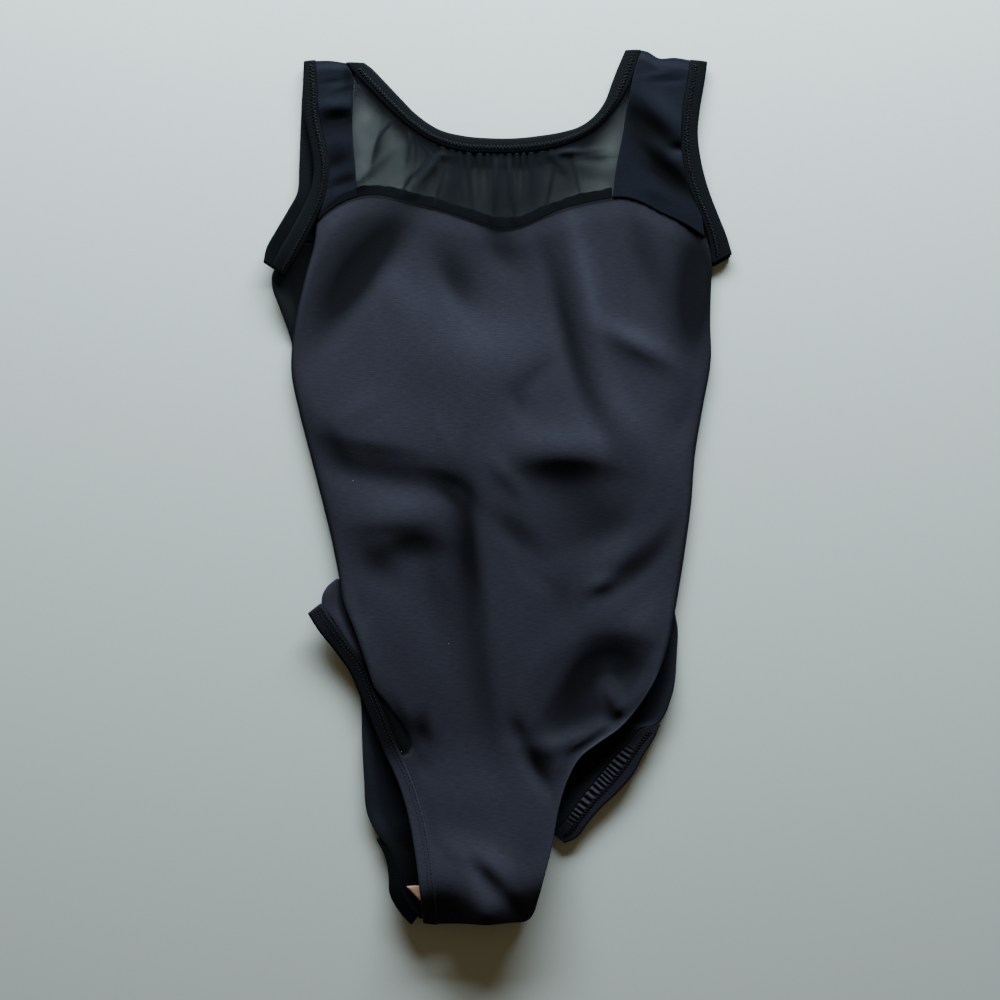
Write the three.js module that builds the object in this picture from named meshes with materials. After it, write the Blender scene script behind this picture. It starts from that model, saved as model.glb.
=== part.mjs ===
// A sleeveless dance leotard of matt stretch knit with a sheer net yoke, laid flat on its back with the front
// uppermost. +Z is up, +Y runs to the shoulders, and the origin lies on the floor under the middle of the garment.
// Lengths are in millimetres. Left and right are as the picture shows them, seen from above.
import * as THREE from "three";

// Walls of the cloth and its trims
const KNIT = 1.2;
const NET = 1.0;
const BAND = 1.8;
const LINING = 1.0;

// Spaces between the pieces. SEAM_STEP is how far a piece stands off a sloping seam, measured along +Y.
const SEAM = 0.3;
const SEAM_STEP = 0.78;
const NECK_STEP = 0.6;

// Lowest heights of the middle surfaces of the front's knit and net, and how softly they are held there
const LOWEST_KNIT = KNIT + SEAM + KNIT / 2 + 0.1;
const LOWEST_NET = NET + SEAM + NET / 2 + 0.6;
const KNEE = 0.5;

// Heights of the front's middle surface above the floor
const CROWN = 5.2;
const SHOULDER = { seam: 5.0, crown: 4.6, tip: 2.8, low: 2.4, tipFrom: 0.93 };
const YOKE = { seam: 4.7, neck: 3.5, seamFade: 0.125, neckFade: 0.17 };
const SEAM_DIP = { depth: 0.7, from: 0.985 };
const SEAM_TAPE = { z: 3.0, slope: 0.3, off: 0.6, height: 8, from: -128, to: 86 };

// The crotch end stands up off the floor: the front arches over, turns down past a crest, and the back lies lower
const CURL = { start: -185, end: -308, rise: 13 };
const BACK_CURL = { start: -250, end: -315, rise: 6 };
const CROTCH_FOLD = { crest: -303, slope: 0.33, knee: 3 };

// Widths over which a sheet rolls up from its edge
const SIDE_ROLL = 15;
const BACK_ROLL = 13;
const HIP_SLOPE = 1.5;

// The lining of the gusset, which shows at the left leg: its corners, and the lift of its left edge
const GUSSET = {
  bottom: [
    { x: -57.0, y: -314.0 },
    { x: 20.0, y: -317.0 },
  ],
  top: [
    { x: -68.6, y: -302.0 },
    { x: 27.0, y: -299.0 },
  ],
  edgeLift: 1.5,
  edgeShare: 0.25,
};

// Columns and rows of each sheet's grid, and stations along each band
const GRID = {
  front_body: [26, 48],
  front_yoke: [60, 8],
  front_shoulder_left: [6, 16],
  front_shoulder_right: [10, 16],
  yoke_seam_allowance: [36, 1],
  front_hip_fold: [4, 10],
  back_body: [16, 40],
  back_shoulder_left: [4, 10],
  back_shoulder_right: [6, 10],
  back_yoke: [24, 5],
  gusset_lining: [8, 3],
  neck_binding_front: [2, 34],
  neck_binding_back: [2, 34],
  armhole_binding_right_front: [2, 22],
  armhole_binding_right_back: [2, 22],
  armhole_binding_left_front: [2, 24],
  armhole_binding_left_back: [2, 24],
  leg_hem_left_front: [2, 34],
  leg_hem_left_back: [2, 12],
  leg_hem_right_back: [2, 112],
};
// The share by which the back body's columns crowd towards its edges
const BACK_CROWDING = 0.75;
const FOLD_FADE = 12;

// The front body's edges. rim is the height of the middle surface there, before the crotch curl is added.
const BODY_LEFT = [
  { x: -45.6, y: -329.0, rim: 6.0 },
  { x: -45.8, y: -317.0, rim: 6.0 },
  { x: -47.5, y: -296.0, rim: 6.1 },
  { x: -51.3, y: -270.0, rim: 6.2 },
  { x: -57.6, y: -242.0, rim: 6.1 },
  { x: -67.2, y: -215.5, rim: 6.0 },
  { x: -76.4, y: -196.5, rim: 5.8 },
  { x: -88.5, y: -166.8, rim: 5.3 },
  { x: -92.6, y: -155.0, rim: 5.8 },
  { x: -97.3, y: -141.0, rim: 6.6 },
  { x: -107.9, y: -110.0, rim: 6.8 },
  { x: -117.0, y: -86.0, rim: 6.2 },
  { x: -120.2, y: -68.0, rim: 4.0 },
  { x: -125.4, y: -42.0, rim: 2.6 },
  { x: -133.6, y: -8.0, rim: 2.4 },
  { x: -142.1, y: 25.0, rim: 2.4 },
  { x: -150.4, y: 57.0, rim: 2.4 },
  { x: -156.3, y: 88.0, rim: 2.4 },
  { x: -154.3, y: 117.0, rim: 2.9 },
  { x: -146.2, y: 156.0, rim: 3.5 },
  { x: -138.4, y: 187.0, rim: 3.6 },
  { x: -137.6, y: 199.5, rim: 4.2 },
];
const BODY_RIGHT = [
  { x: 19.0, y: -327.4, rim: 5.6 },
  { x: 23.4, y: -325.2, rim: 5.6 },
  { x: 26.6, y: -320.4, rim: 5.6 },
  { x: 29.2, y: -312.0, rim: 5.6 },
  { x: 33.4, y: -296.0, rim: 5.7 },
  { x: 40.3, y: -269.5, rim: 5.9 },
  { x: 45.4, y: -243.0, rim: 5.9 },
  { x: 52.5, y: -221.0, rim: 5.9 },
  { x: 62.5, y: -204.0, rim: 5.9 },
  { x: 74.5, y: -194.5, rim: 5.9 },
  { x: 91.5, y: -182.5, rim: 5.9 },
  { x: 106.8, y: -165.0, rim: 5.8 },
  { x: 120.8, y: -141.0, rim: 5.2 },
  { x: 128.4, y: -119.0, rim: 4.0 },
  { x: 132.6, y: -100.0, rim: 3.0 },
  { x: 135.3, y: -86.0, rim: 2.6 },
  { x: 141.4, y: -47.5, rim: 2.4 },
  { x: 146.0, y: -13.0, rim: 2.4 },
  { x: 149.0, y: 25.0, rim: 2.4 },
  { x: 155.0, y: 61.0, rim: 2.4 },
  { x: 161.0, y: 97.0, rim: 2.4 },
  { x: 160.4, y: 125.0, rim: 2.4 },
  { x: 161.2, y: 155.0, rim: 2.6 },
  { x: 161.6, y: 172.0, rim: 3.0 },
  { x: 158.1, y: 186.6, rim: 3.6 },
];

// The sweetheart seam between body and yoke, from the left armhole to the right one
const SWEETHEART = [
  { x: -137.6, y: 199.5 },
  { x: -127.7, y: 207.9 },
  { x: -112.5, y: 216.2 },
  { x: -91.0, y: 219.8 },
  { x: -70.7, y: 215.8 },
  { x: -44.1, y: 208.8 },
  { x: -16.0, y: 199.9 },
  { x: 6.0, y: 195.0 },
  { x: 15.5, y: 196.2 },
  { x: 32.7, y: 203.0 },
  { x: 55.5, y: 211.3 },
  { x: 77.5, y: 216.2 },
  { x: 94.2, y: 218.1 },
  { x: 107.9, y: 214.5 },
  { x: 123.1, y: 206.6 },
  { x: 138.3, y: 199.5 },
  { x: 149.7, y: 192.9 },
  { x: 158.1, y: 186.6 },
];

// Bands are tables of cross-sections: outer edge, inner edge and the height of the middle surface there
const NECK_BAND = [
  { ox: -101.8, oy: 320.6, ix: -114.8, iy: 321.0, outer: 3.0, inner: 3.0 },
  { ox: -96.8, oy: 316.9, ix: -109.6, iy: 314.3, outer: 3.2, inner: 3.2 },
  { ox: -87.4, oy: 307.4, ix: -98.0, iy: 302.1, outer: 3.4, inner: 3.4 },
  { ox: -75.2, oy: 294.5, ix: -83.6, iy: 287.2, outer: 3.4, inner: 3.4 },
  { ox: -61.6, oy: 280.9, ix: -66.9, iy: 272.5, outer: 3.4, inner: 3.4 },
  { ox: -44.1, oy: 269.6, ix: -47.1, iy: 260.1, outer: 3.4, inner: 3.4 },
  { ox: -25.8, oy: 265.0, ix: -26.6, iy: 253.8, outer: 3.4, inner: 3.4 },
  { ox: -6.1, oy: 263.3, ix: -6.1, iy: 252.6, outer: 3.4, inner: 3.4 },
  { ox: 13.7, oy: 263.3, ix: 13.7, iy: 252.8, outer: 3.4, inner: 3.4 },
  { ox: 31.9, oy: 265.2, ix: 34.2, iy: 254.9, outer: 3.4, inner: 3.4 },
  { ox: 48.6, oy: 268.0, ix: 51.9, iy: 259.4, outer: 3.4, inner: 3.4 },
  { ox: 62.1, oy: 272.2, ix: 67.6, iy: 266.6, outer: 3.4, inner: 3.4 },
  { ox: 73.4, oy: 280.3, ix: 79.9, iy: 276.6, outer: 3.4, inner: 3.4 },
  { ox: 81.0, oy: 290.3, ix: 89.8, iy: 288.6, outer: 3.4, inner: 3.4 },
  { ox: 86.8, oy: 305.1, ix: 98.6, iy: 303.4, outer: 3.4, inner: 3.4 },
  { ox: 89.6, oy: 312.6, ix: 101.6, iy: 310.4, outer: 3.3, inner: 3.3 },
  { ox: 97.0, oy: 330.2, ix: 107.9, iy: 330.5, outer: 3.0, inner: 3.0 },
];
const ARM_BAND_RIGHT = [
  { ox: 158.1, oy: 321.6, ix: 145.9, iy: 322.9, outer: 2.9, inner: 3.2 },
  { ox: 155.8, oy: 305.9, ix: 143.8, iy: 306.7, outer: 3.1, inner: 4.0 },
  { ox: 152.4, oy: 286.1, ix: 140.3, iy: 286.1, outer: 3.1, inner: 4.2 },
  { ox: 150.8, oy: 267.9, ix: 138.9, iy: 265.6, outer: 3.1, inner: 4.2 },
  { ox: 152.9, oy: 248.9, ix: 140.3, iy: 245.5, outer: 3.1, inner: 4.2 },
  { ox: 158.8, oy: 225.6, ix: 147.2, iy: 220.5, outer: 3.1, inner: 4.2 },
  { ox: 166.8, oy: 204.4, ix: 155.6, iy: 201.0, outer: 3.1, inner: 4.0 },
  { ox: 172.8, oy: 189.4, ix: 160.4, iy: 185.8, outer: 3.0, inner: 3.6 },
  { ox: 176.7, oy: 176.2, ix: 162.8, iy: 168.6, outer: 2.9, inner: 3.2 },
];
const ARM_BAND_LEFT = [
  { ox: -146.7, oy: 321.9, ix: -138.6, iy: 322.6, outer: 3.0, inner: 3.2 },
  { ox: -147.2, oy: 301.3, ix: -137.2, iy: 301.3, outer: 3.2, inner: 4.0 },
  { ox: -146.2, oy: 280.0, ix: -135.6, iy: 278.5, outer: 3.3, inner: 4.2 },
  { ox: -141.8, oy: 259.5, ix: -130.9, iy: 257.6, outer: 3.6, inner: 4.4 },
  { ox: -139.3, oy: 240.5, ix: -128.6, iy: 238.5, outer: 4.0, inner: 4.6 },
  { ox: -140.9, oy: 225.9, ix: -131.3, iy: 219.7, outer: 4.6, inner: 4.8 },
  { ox: -147.8, oy: 208.9, ix: -138.6, iy: 201.4, outer: 6.0, inner: 5.4 },
  { ox: -157.3, oy: 190.2, ix: -147.4, iy: 183.4, outer: 8.0, inner: 6.4 },
  { ox: -164.9, oy: 176.5, ix: -155.2, iy: 169.6, outer: 9.0, inner: 7.0 },
  { ox: -169.5, oy: 166.4, ix: -162.2, iy: 158.6, outer: 8.6, inner: 7.0 },
];
const ARM_BAND_LEFT_BACK = [
  { ox: -146.0, oy: 320.6, ix: -134.8, iy: 321.4, outer: 0.9, inner: 0.9 },
  { ox: -147.8, oy: 301.3, ix: -135.4, iy: 301.3, outer: 0.9, inner: 0.9 },
  { ox: -149.0, oy: 276.3, ix: -137.6, iy: 276.3, outer: 1.2, inner: 0.9 },
  { ox: -149.7, oy: 255.7, ix: -139.2, iy: 255.7, outer: 1.8, inner: 0.9 },
  { ox: -150.2, oy: 239.8, ix: -140.4, iy: 238.3, outer: 2.4, inner: 1.2 },
  { ox: -151.4, oy: 222.7, ix: -142.3, iy: 217.6, outer: 3.4, inner: 1.8 },
  { ox: -158.6, oy: 208.6, ix: -150.2, iy: 202.2, outer: 4.4, inner: 2.4 },
  { ox: -167.6, oy: 192.8, ix: -159.4, iy: 186.6, outer: 5.6, inner: 3.2 },
  { ox: -174.8, oy: 179.0, ix: -166.4, iy: 173.2, outer: 6.4, inner: 3.8 },
  { ox: -176.7, oy: 169.6, ix: -169.2, iy: 164.8, outer: 6.4, inner: 4.2 },
];
const HEM_LEFT_FRONT = [
  { ox: -142.9, oy: -96.1, ix: -133.8, iy: -88.9, outer: 8.0, inner: 7.4 },
  { ox: -135.3, oy: -108.3, ix: -125.4, iy: -101.9, outer: 7.2, inner: 6.6 },
  { ox: -123.1, oy: -123.7, ix: -114.0, iy: -118.6, outer: 6.2, inner: 5.6 },
  { ox: -111.9, oy: -139.7, ix: -102.6, iy: -134.2, outer: 5.4, inner: 4.8 },
  { ox: -104.3, oy: -157.2, ix: -94.6, iy: -153.4, outer: 5.0, inner: 4.9 },
  { ox: -98.2, oy: -171.6, ix: -88.9, iy: -167.0, outer: 5.0, inner: 5.3 },
  { ox: -86.8, oy: -199.5, ix: -76.8, iy: -196.7, outer: 5.2, inner: 5.8 },
  { ox: -77.0, oy: -219.3, ix: -67.6, iy: -215.7, outer: 5.4, inner: 6.0 },
  { ox: -68.6, oy: -242.8, ix: -58.0, iy: -242.0, outer: 5.6, inner: 6.1 },
  { ox: -62.5, oy: -270.9, ix: -51.7, iy: -270.0, outer: 5.8, inner: 6.2 },
  { ox: -58.7, oy: -296.0, ix: -47.9, iy: -296.0, outer: 5.8, inner: 6.1 },
  { ox: -57.0, oy: -314.3, ix: -46.2, iy: -317.0, outer: 5.6, inner: 6.0 },
  { ox: -55.6, oy: -328.4, ix: -46.0, iy: -329.6, outer: 5.4, inner: 6.0 },
];
const HEM_LEFT_BACK = [
  { ox: -91.6, oy: -267.6, ix: -89.6, iy: -266.6, outer: 3.2, inner: 3.2 },
  { ox: -84.6, oy: -281.6, ix: -79.2, iy: -279.2, outer: 3.0, inner: 2.8 },
  { ox: -82.3, oy: -295.0, ix: -73.2, iy: -294.0, outer: 3.2, inner: 2.4 },
  { ox: -81.6, oy: -307.0, ix: -73.0, iy: -302.0, outer: 3.4, inner: 2.4 },
  { ox: -74.6, oy: -320.6, ix: -67.6, iy: -315.0, outer: 3.0, inner: 2.2 },
  { ox: -65.6, oy: -330.64, ix: -60.2, iy: -323.5, outer: 2.2, inner: 2.0 },
];
const HEM_RIGHT_BACK = [
  { ox: 124.6, oy: -180.8, ix: 121.8, iy: -179.2, outer: 4.4, inner: 4.2 },
  { ox: 117.6, oy: -190.6, ix: 107.8, iy: -184.6, outer: 4.4, inner: 3.6 },
  { ox: 109.8, oy: -203.0, ix: 98.0, iy: -196.0, outer: 4.4, inner: 3.2 },
  { ox: 102.4, oy: -217.0, ix: 88.0, iy: -206.4, outer: 4.4, inner: 3.0 },
  { ox: 90.4, oy: -231.2, ix: 77.6, iy: -219.4, outer: 4.2, inner: 2.8 },
  { ox: 78.3, oy: -242.6, ix: 66.2, iy: -233.2, outer: 4.0, inner: 2.6 },
  { ox: 67.6, oy: -254.8, ix: 56.2, iy: -247.2, outer: 3.6, inner: 2.4 },
  { ox: 59.0, oy: -266.0, ix: 47.2, iy: -258.2, outer: 3.0, inner: 2.0 },
  { ox: 50.6, oy: -270.0, ix: 42.0, iy: -262.8, outer: 2.4, inner: 1.6 },
];

// The back body's edges. lift raises the edge off the floor where the cloth curls.
const BACK_LEFT = [
  { x: -58.8, y: -326.2, lift: 0.6 },
  { x: -67.1, y: -314.6, lift: 1.2 },
  { x: -72.6, y: -301.8, lift: 1.4 },
  { x: -72.8, y: -293.8, lift: 1.4 },
  { x: -78.8, y: -278.8, lift: 1.8 },
  { x: -89.2, y: -266.2, lift: 2.2 },
  { x: -98.0, y: -250.0, lift: 2.8 },
  { x: -101.1, y: -221.0, lift: 3.0 },
  { x: -102.6, y: -192.0, lift: 2.6 },
  { x: -103.8, y: -162.0, lift: 0.8 },
  { x: -110.4, y: -132.0, lift: 0.0 },
  { x: -114.6, y: -100.0, lift: 0.0 },
  { x: -119.4, y: -67.0, lift: 0.0 },
  { x: -124.7, y: -41.4, lift: 0.0 },
  { x: -133.0, y: -7.2, lift: 0.0 },
  { x: -141.4, y: 24.7, lift: 0.0 },
  { x: -149.6, y: 56.0, lift: 0.0 },
  { x: -155.6, y: 88.0, lift: 0.0 },
  { x: -156.8, y: 111.3, lift: 0.6 },
  { x: -160.6, y: 123.5, lift: 2.2 },
  { x: -165.2, y: 136.0, lift: 3.6 },
  { x: -170.4, y: 150.9, lift: 4.4 },
  { x: -170.8, y: 158.8, lift: 4.2 },
  { x: -164.8, y: 172.2, lift: 3.0 },
  { x: -158.6, y: 184.6, lift: 2.2 },
];
const BACK_RIGHT = [
  { x: 17.6, y: -325.4, lift: 0.0 },
  { x: 25.6, y: -317.4, lift: 0.0 },
  { x: 31.6, y: -296.0, lift: 0.0 },
  { x: 37.4, y: -274.0, lift: 0.4 },
  { x: 42.2, y: -262.2, lift: 0.8 },
  { x: 46.9, y: -257.6, lift: 1.2 },
  { x: 55.8, y: -246.8, lift: 1.6 },
  { x: 65.8, y: -232.8, lift: 1.8 },
  { x: 77.2, y: -219.0, lift: 2.0 },
  { x: 87.6, y: -206.0, lift: 2.2 },
  { x: 97.6, y: -195.6, lift: 2.4 },
  { x: 107.4, y: -184.2, lift: 2.8 },
  { x: 121.6, y: -178.8, lift: 3.6 },
  { x: 130.4, y: -161.0, lift: 4.0 },
  { x: 135.3, y: -123.5, lift: 2.0 },
  { x: 136.0, y: -108.3, lift: 0.8 },
  { x: 133.6, y: -92.0, lift: 0.0 },
  { x: 134.6, y: -82.0, lift: 0.0 },
  { x: 140.6, y: -47.5, lift: 0.0 },
  { x: 145.2, y: -13.0, lift: 0.0 },
  { x: 148.2, y: 25.0, lift: 0.0 },
  { x: 154.2, y: 61.0, lift: 0.0 },
  { x: 160.2, y: 97.0, lift: 0.0 },
  { x: 159.6, y: 125.0, lift: 0.0 },
  { x: 160.6, y: 150.0, lift: 0.0 },
  { x: 162.0, y: 167.4, lift: 0.0 },
  { x: 159.4, y: 184.6, lift: 0.0 },
];

// The hip fold's edges: the front's side, folded out from under the body above the left leg. z is its middle surface.
const HIP_FOLD_OUTER = [
  { x: -94.2, y: -152.6, z: 3.4 },
  { x: -102.2, y: -133.7, z: 4.3 },
  { x: -113.6, y: -118.1, z: 5.3 },
  { x: -124.6, y: -101.2, z: 6.3 },
  { x: -132.9, y: -88.4, z: 6.9 },
  { x: -132.4, y: -82.4, z: 6.2 },
  { x: -129.4, y: -76.6, z: 4.6 },
  { x: -122.4, y: -70.4, z: 2.7 },
];
const HIP_FOLD_INNER = [
  { x: -87.0, y: -152.0, z: 2.6 },
  { x: -90.0, y: -139.0, z: 2.6 },
  { x: -95.4, y: -125.0, z: 2.6 },
  { x: -100.6, y: -110.0, z: 2.6 },
  { x: -105.6, y: -96.0, z: 2.6 },
  { x: -108.0, y: -87.0, z: 2.6 },
  { x: -110.0, y: -78.0, z: 2.6 },
  { x: -111.0, y: -70.4, z: 2.6 },
];

// The front's knit shoulders: the stretch of the seam that they stand on, their arm and neck sides from there up, and
// the line at the shoulder's tip. Each side is listed from the bottom.
const SHOULDER_LEFT = {
  from: -136.4,
  to: -107.4,
  arm: [
    { x: -130.8, y: 220.0 },
    { x: -128.0, y: 238.6 },
    { x: -130.3, y: 257.8 },
    { x: -135.0, y: 278.6 },
    { x: -136.6, y: 301.3 },
    { x: -138.0, y: 322.3 },
  ],
  neck: [
    { x: -108.8, y: 240.5 },
    { x: -111.0, y: 266.0 },
    { x: -111.0, y: 294.0 },
    { x: -110.8, y: 311.8 },
    { x: -115.5, y: 320.6 },
  ],
  tip: [
    { x: -138.0, y: 322.3 },
    { x: -127.0, y: 322.3 },
    { x: -115.5, y: 320.6 },
  ],
};
const SHOULDER_RIGHT = {
  from: 87.0,
  to: 155.6,
  arm: [
    { x: 154.0, y: 202.4 },
    { x: 146.3, y: 220.5 },
    { x: 139.5, y: 245.6 },
    { x: 138.1, y: 265.6 },
    { x: 139.5, y: 286.1 },
    { x: 143.0, y: 306.7 },
    { x: 145.2, y: 322.9 },
  ],
  neck: [
    { x: 90.6, y: 244.3 },
    { x: 94.6, y: 264.0 },
    { x: 99.2, y: 291.0 },
    { x: 102.6, y: 310.2 },
    { x: 108.8, y: 330.4 },
  ],
  tip: [
    { x: 108.8, y: 330.4 },
    { x: 113.0, y: 329.3 },
    { x: 121.6, y: 324.4 },
    { x: 134.0, y: 324.6 },
    { x: 145.2, y: 322.9 },
  ],
};

// The net yoke between them: its stretch of the seam, its share of the neck band, and its sides
const YOKE_SPAN = { from: -106.6, to: 86.2, neckFrom: 0.012, neckTo: 0.985 };
const YOKE_LEFT = [
  { x: -108.1, y: 240.5 },
  { x: -110.3, y: 266.0 },
  { x: -110.3, y: 294.0 },
];
const YOKE_RIGHT = [
  { x: 89.8, y: 244.3 },
  { x: 93.8, y: 264.0 },
  { x: 98.4, y: 291.0 },
];

// The back's top lies lower than the front's, from a straight seam up
const BACK_SEAM = 185.2;
const BACK_DROP = 1.2;
const FOOT_SPREAD = 0.8;
const BACK_ARM_LEFT = [
  { x: -146.0, y: 199.0 },
  { x: -141.8, y: 217.8 },
  { x: -139.8, y: 238.5 },
  { x: -138.6, y: 255.7 },
  { x: -137.0, y: 276.3 },
  { x: -134.8, y: 301.3 },
];
const BACK_ARM_RIGHT = [
  { x: 152.4, y: 202.0 },
  { x: 144.8, y: 220.0 },
  { x: 138.2, y: 245.5 },
  { x: 136.8, y: 265.6 },
  { x: 138.2, y: 286.1 },
  { x: 141.6, y: 306.7 },
];
const BACK_NECK_LEFT = [
  { x: -108.8, y: 240.5 },
  { x: -111.0, y: 266.0 },
  { x: -111.0, y: 294.0 },
  { x: -111.6, y: 311.0 },
];
const BACK_NECK_RIGHT = [
  { x: 90.6, y: 244.3 },
  { x: 94.6, y: 264.0 },
  { x: 99.2, y: 291.0 },
  { x: 103.6, y: 309.2 },
];
const BACK_TIP_LEFT = [
  { x: -134.2, y: 320.6 },
  { x: -125.0, y: 320.6 },
  { x: -116.6, y: 318.8 },
];
const BACK_TIP_RIGHT = [
  { x: 109.8, y: 328.2 },
  { x: 113.4, y: 327.4 },
  { x: 121.6, y: 322.9 },
  { x: 134.0, y: 323.1 },
  { x: 143.6, y: 321.4 },
];

// Folds of the front: a ridge (rise over 0) or a trough, with its middle, its run's direction in degrees,
// its half length, and its width on its upper and its lower side
const BODY_FOLDS = [
  { x: -95.8, y: 168.0, turn: 52, half: 34, above: 9, below: 9, rise: -1.8 },
  { x: -112.0, y: 178.0, turn: 52, half: 26, above: 10, below: 9, rise: 0.9 },
  { x: 66.0, y: 88.0, turn: 84, half: 46, above: 10, below: 10, rise: -1.2 },
  { x: 92.0, y: 112.0, turn: -62, half: 40, above: 14, below: 12, rise: 0.9 },
  { x: 49.0, y: 23.0, turn: -2, half: 40, above: 17, below: 5.5, rise: 3.4 },
  { x: 52.0, y: 5.0, turn: -4, half: 32, above: 9, below: 13, rise: -2.6 },
  { x: -93.5, y: 30.0, turn: -16, half: 44, above: 15, below: 6.5, rise: 2.1 },
  { x: -98.0, y: 16.0, turn: -14, half: 30, above: 7, below: 9, rise: -1.5 },
  { x: -28.9, y: -14.0, turn: -60, half: 26, above: 8, below: 8, rise: -2.0 },
  { x: 5.3, y: -8.0, turn: -50, half: 32, above: 10, below: 11, rise: 1.5 },
  { x: -15.0, y: -92.0, turn: -79, half: 92, above: 10, below: 13, rise: -1.9 },
  { x: -65.4, y: -43.0, turn: -8, half: 20, above: 8, below: 11, rise: -1.9 },
  { x: -76.0, y: -22.0, turn: 22, half: 28, above: 11, below: 9, rise: 1.4 },
  { x: 94.0, y: -44.0, turn: 43, half: 28, above: 12, below: 9, rise: 1.5 },
  { x: 105.0, y: -58.0, turn: 43, half: 29, above: 8, below: 4.5, rise: -2.7 },
  { x: 79.0, y: -107.0, turn: -6, half: 32, above: 18, below: 11, rise: 2.6 },
  { x: 62.0, y: -153.0, turn: 54, half: 38, above: 12, below: 12, rise: -3.0 },
  { x: 81.0, y: -157.0, turn: -70, half: 20, above: 6.5, below: 6.5, rise: 2.8 },
  { x: 68.0, y: -184.0, turn: 10, half: 25, above: 7.5, below: 8, rise: 1.8 },
  { x: 71.4, y: -169.0, turn: -40, half: 11, above: 5.5, below: 5.5, rise: -2.4 },
  { x: 22.8, y: -202.0, turn: -60, half: 25, above: 7, below: 6.5, rise: -2.5 },
  { x: -60.8, y: -176.0, turn: -80, half: 13, above: 8, below: 8, rise: -2.2 },
  { x: -78.3, y: -178.0, turn: -58, half: 29, above: 5.5, below: 5.5, rise: -3.8 },
  { x: -50.0, y: -199.0, turn: 50, half: 13, above: 6, below: 6, rise: -1.5 },
  { x: -2.3, y: -197.0, turn: -80, half: 17, above: 10, below: 10, rise: -1.2 },
  { x: -14.0, y: -280.0, turn: -42, half: 26, above: 13, below: 12, rise: 1.3 },
  { x: 3.8, y: -294.0, turn: -60, half: 19, above: 6, below: 6, rise: -3.0 },
];
const SHOULDER_FOLDS = [
  { x: 129.0, y: 297.5, turn: -50, half: 24, above: 8, below: 8, rise: 1.5 },
  { x: 121.0, y: 278.0, turn: -37, half: 21, above: 5, below: 7.5, rise: -2.0 },
  { x: 127.0, y: 252.0, turn: -42, half: 22, above: 8, below: 6, rise: 1.6 },
  { x: 131.5, y: 229.0, turn: -47, half: 24, above: 5, below: 6.5, rise: -2.1 },
  { x: 137.0, y: 256.5, turn: 0, half: 8, above: 3.5, below: 3.5, rise: -1.5 },
  { x: -123.0, y: 288.0, turn: 4, half: 15, above: 7, below: 4.5, rise: 1.3 },
  { x: -121.0, y: 279.0, turn: 6, half: 14, above: 4, below: 6, rise: -1.6 },
  { x: -124.0, y: 246.0, turn: 60, half: 11, above: 7, below: 7, rise: -1.2 },
  { x: -118.0, y: 229.0, turn: 20, half: 12, above: 4, below: 4, rise: -0.9 },
];
const YOKE_FOLDS = [
  { x: -105.0, y: 301.0, turn: 10, half: 8, above: 3, below: 3, rise: 0.9 },
  { x: -88.0, y: 262.0, turn: 70, half: 20, above: 3.5, below: 3.5, rise: 1.5 },
  { x: -67.6, y: 255.0, turn: 88, half: 14, above: 3, below: 3, rise: 1.0 },
  { x: -98.8, y: 234.5, turn: 38, half: 22, above: 4, below: 4, rise: 1.1 },
  { x: -53.0, y: 238.5, turn: 50, half: 21, above: 3.5, below: 3.5, rise: 1.6 },
  { x: -2.3, y: 228.0, turn: 84, half: 24, above: 3.5, below: 3.5, rise: 1.3 },
  { x: 10.4, y: 224.0, turn: 97, half: 22, above: 3.2, below: 3.2, rise: 1.1 },
  { x: 48.0, y: 243.0, turn: -50, half: 16, above: 3.5, below: 3.5, rise: 0.9 },
  { x: 60.0, y: 252.5, turn: -4, half: 24, above: 4, below: 3, rise: 1.4 },
];

// Gathers: waves of the net under the middle of the neck band, and of the elastic in the right leg's back hem
const NECK_GATHERS = { first: -52, last: 62, count: 15, depth: 0.75, reach: 0.75, ends: 0.17 };
const LEG_GATHERS = { count: 28, depth: 0.55, from: 0.16, to: 0.94, ends: 0.1, inner: 0.3 };

const MATERIALS = {
  knit: new THREE.MeshStandardMaterial({ color: 0x23262f, roughness: 0.85, metalness: 0 }),
  net: new THREE.MeshStandardMaterial({ color: 0x3a4046, roughness: 0.7, metalness: 0 }),
  elastic: new THREE.MeshStandardMaterial({ color: 0x14171b, roughness: 0.75, metalness: 0 }),
  lining: new THREE.MeshStandardMaterial({ color: 0xb98768, roughness: 0.8, metalness: 0 }),
};

const clamp = (value, low, high) => Math.min(high, Math.max(low, value));
const mix = (a, b, t) => a + (b - a) * t;
const smooth = (t) => clamp(t, 0, 1) ** 2 * (3 - 2 * clamp(t, 0, 1));
// A quarter of a circle: 0 at an edge, 1 where the roll ends
const roll = (t) => Math.sqrt(1 - (1 - clamp(t, 0, 1)) ** 2);
// Holds a height above a lowest one, softly
const above = (z, lowest) => lowest + KNEE * Math.log1p(Math.exp((z - lowest) / KNEE));

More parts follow.
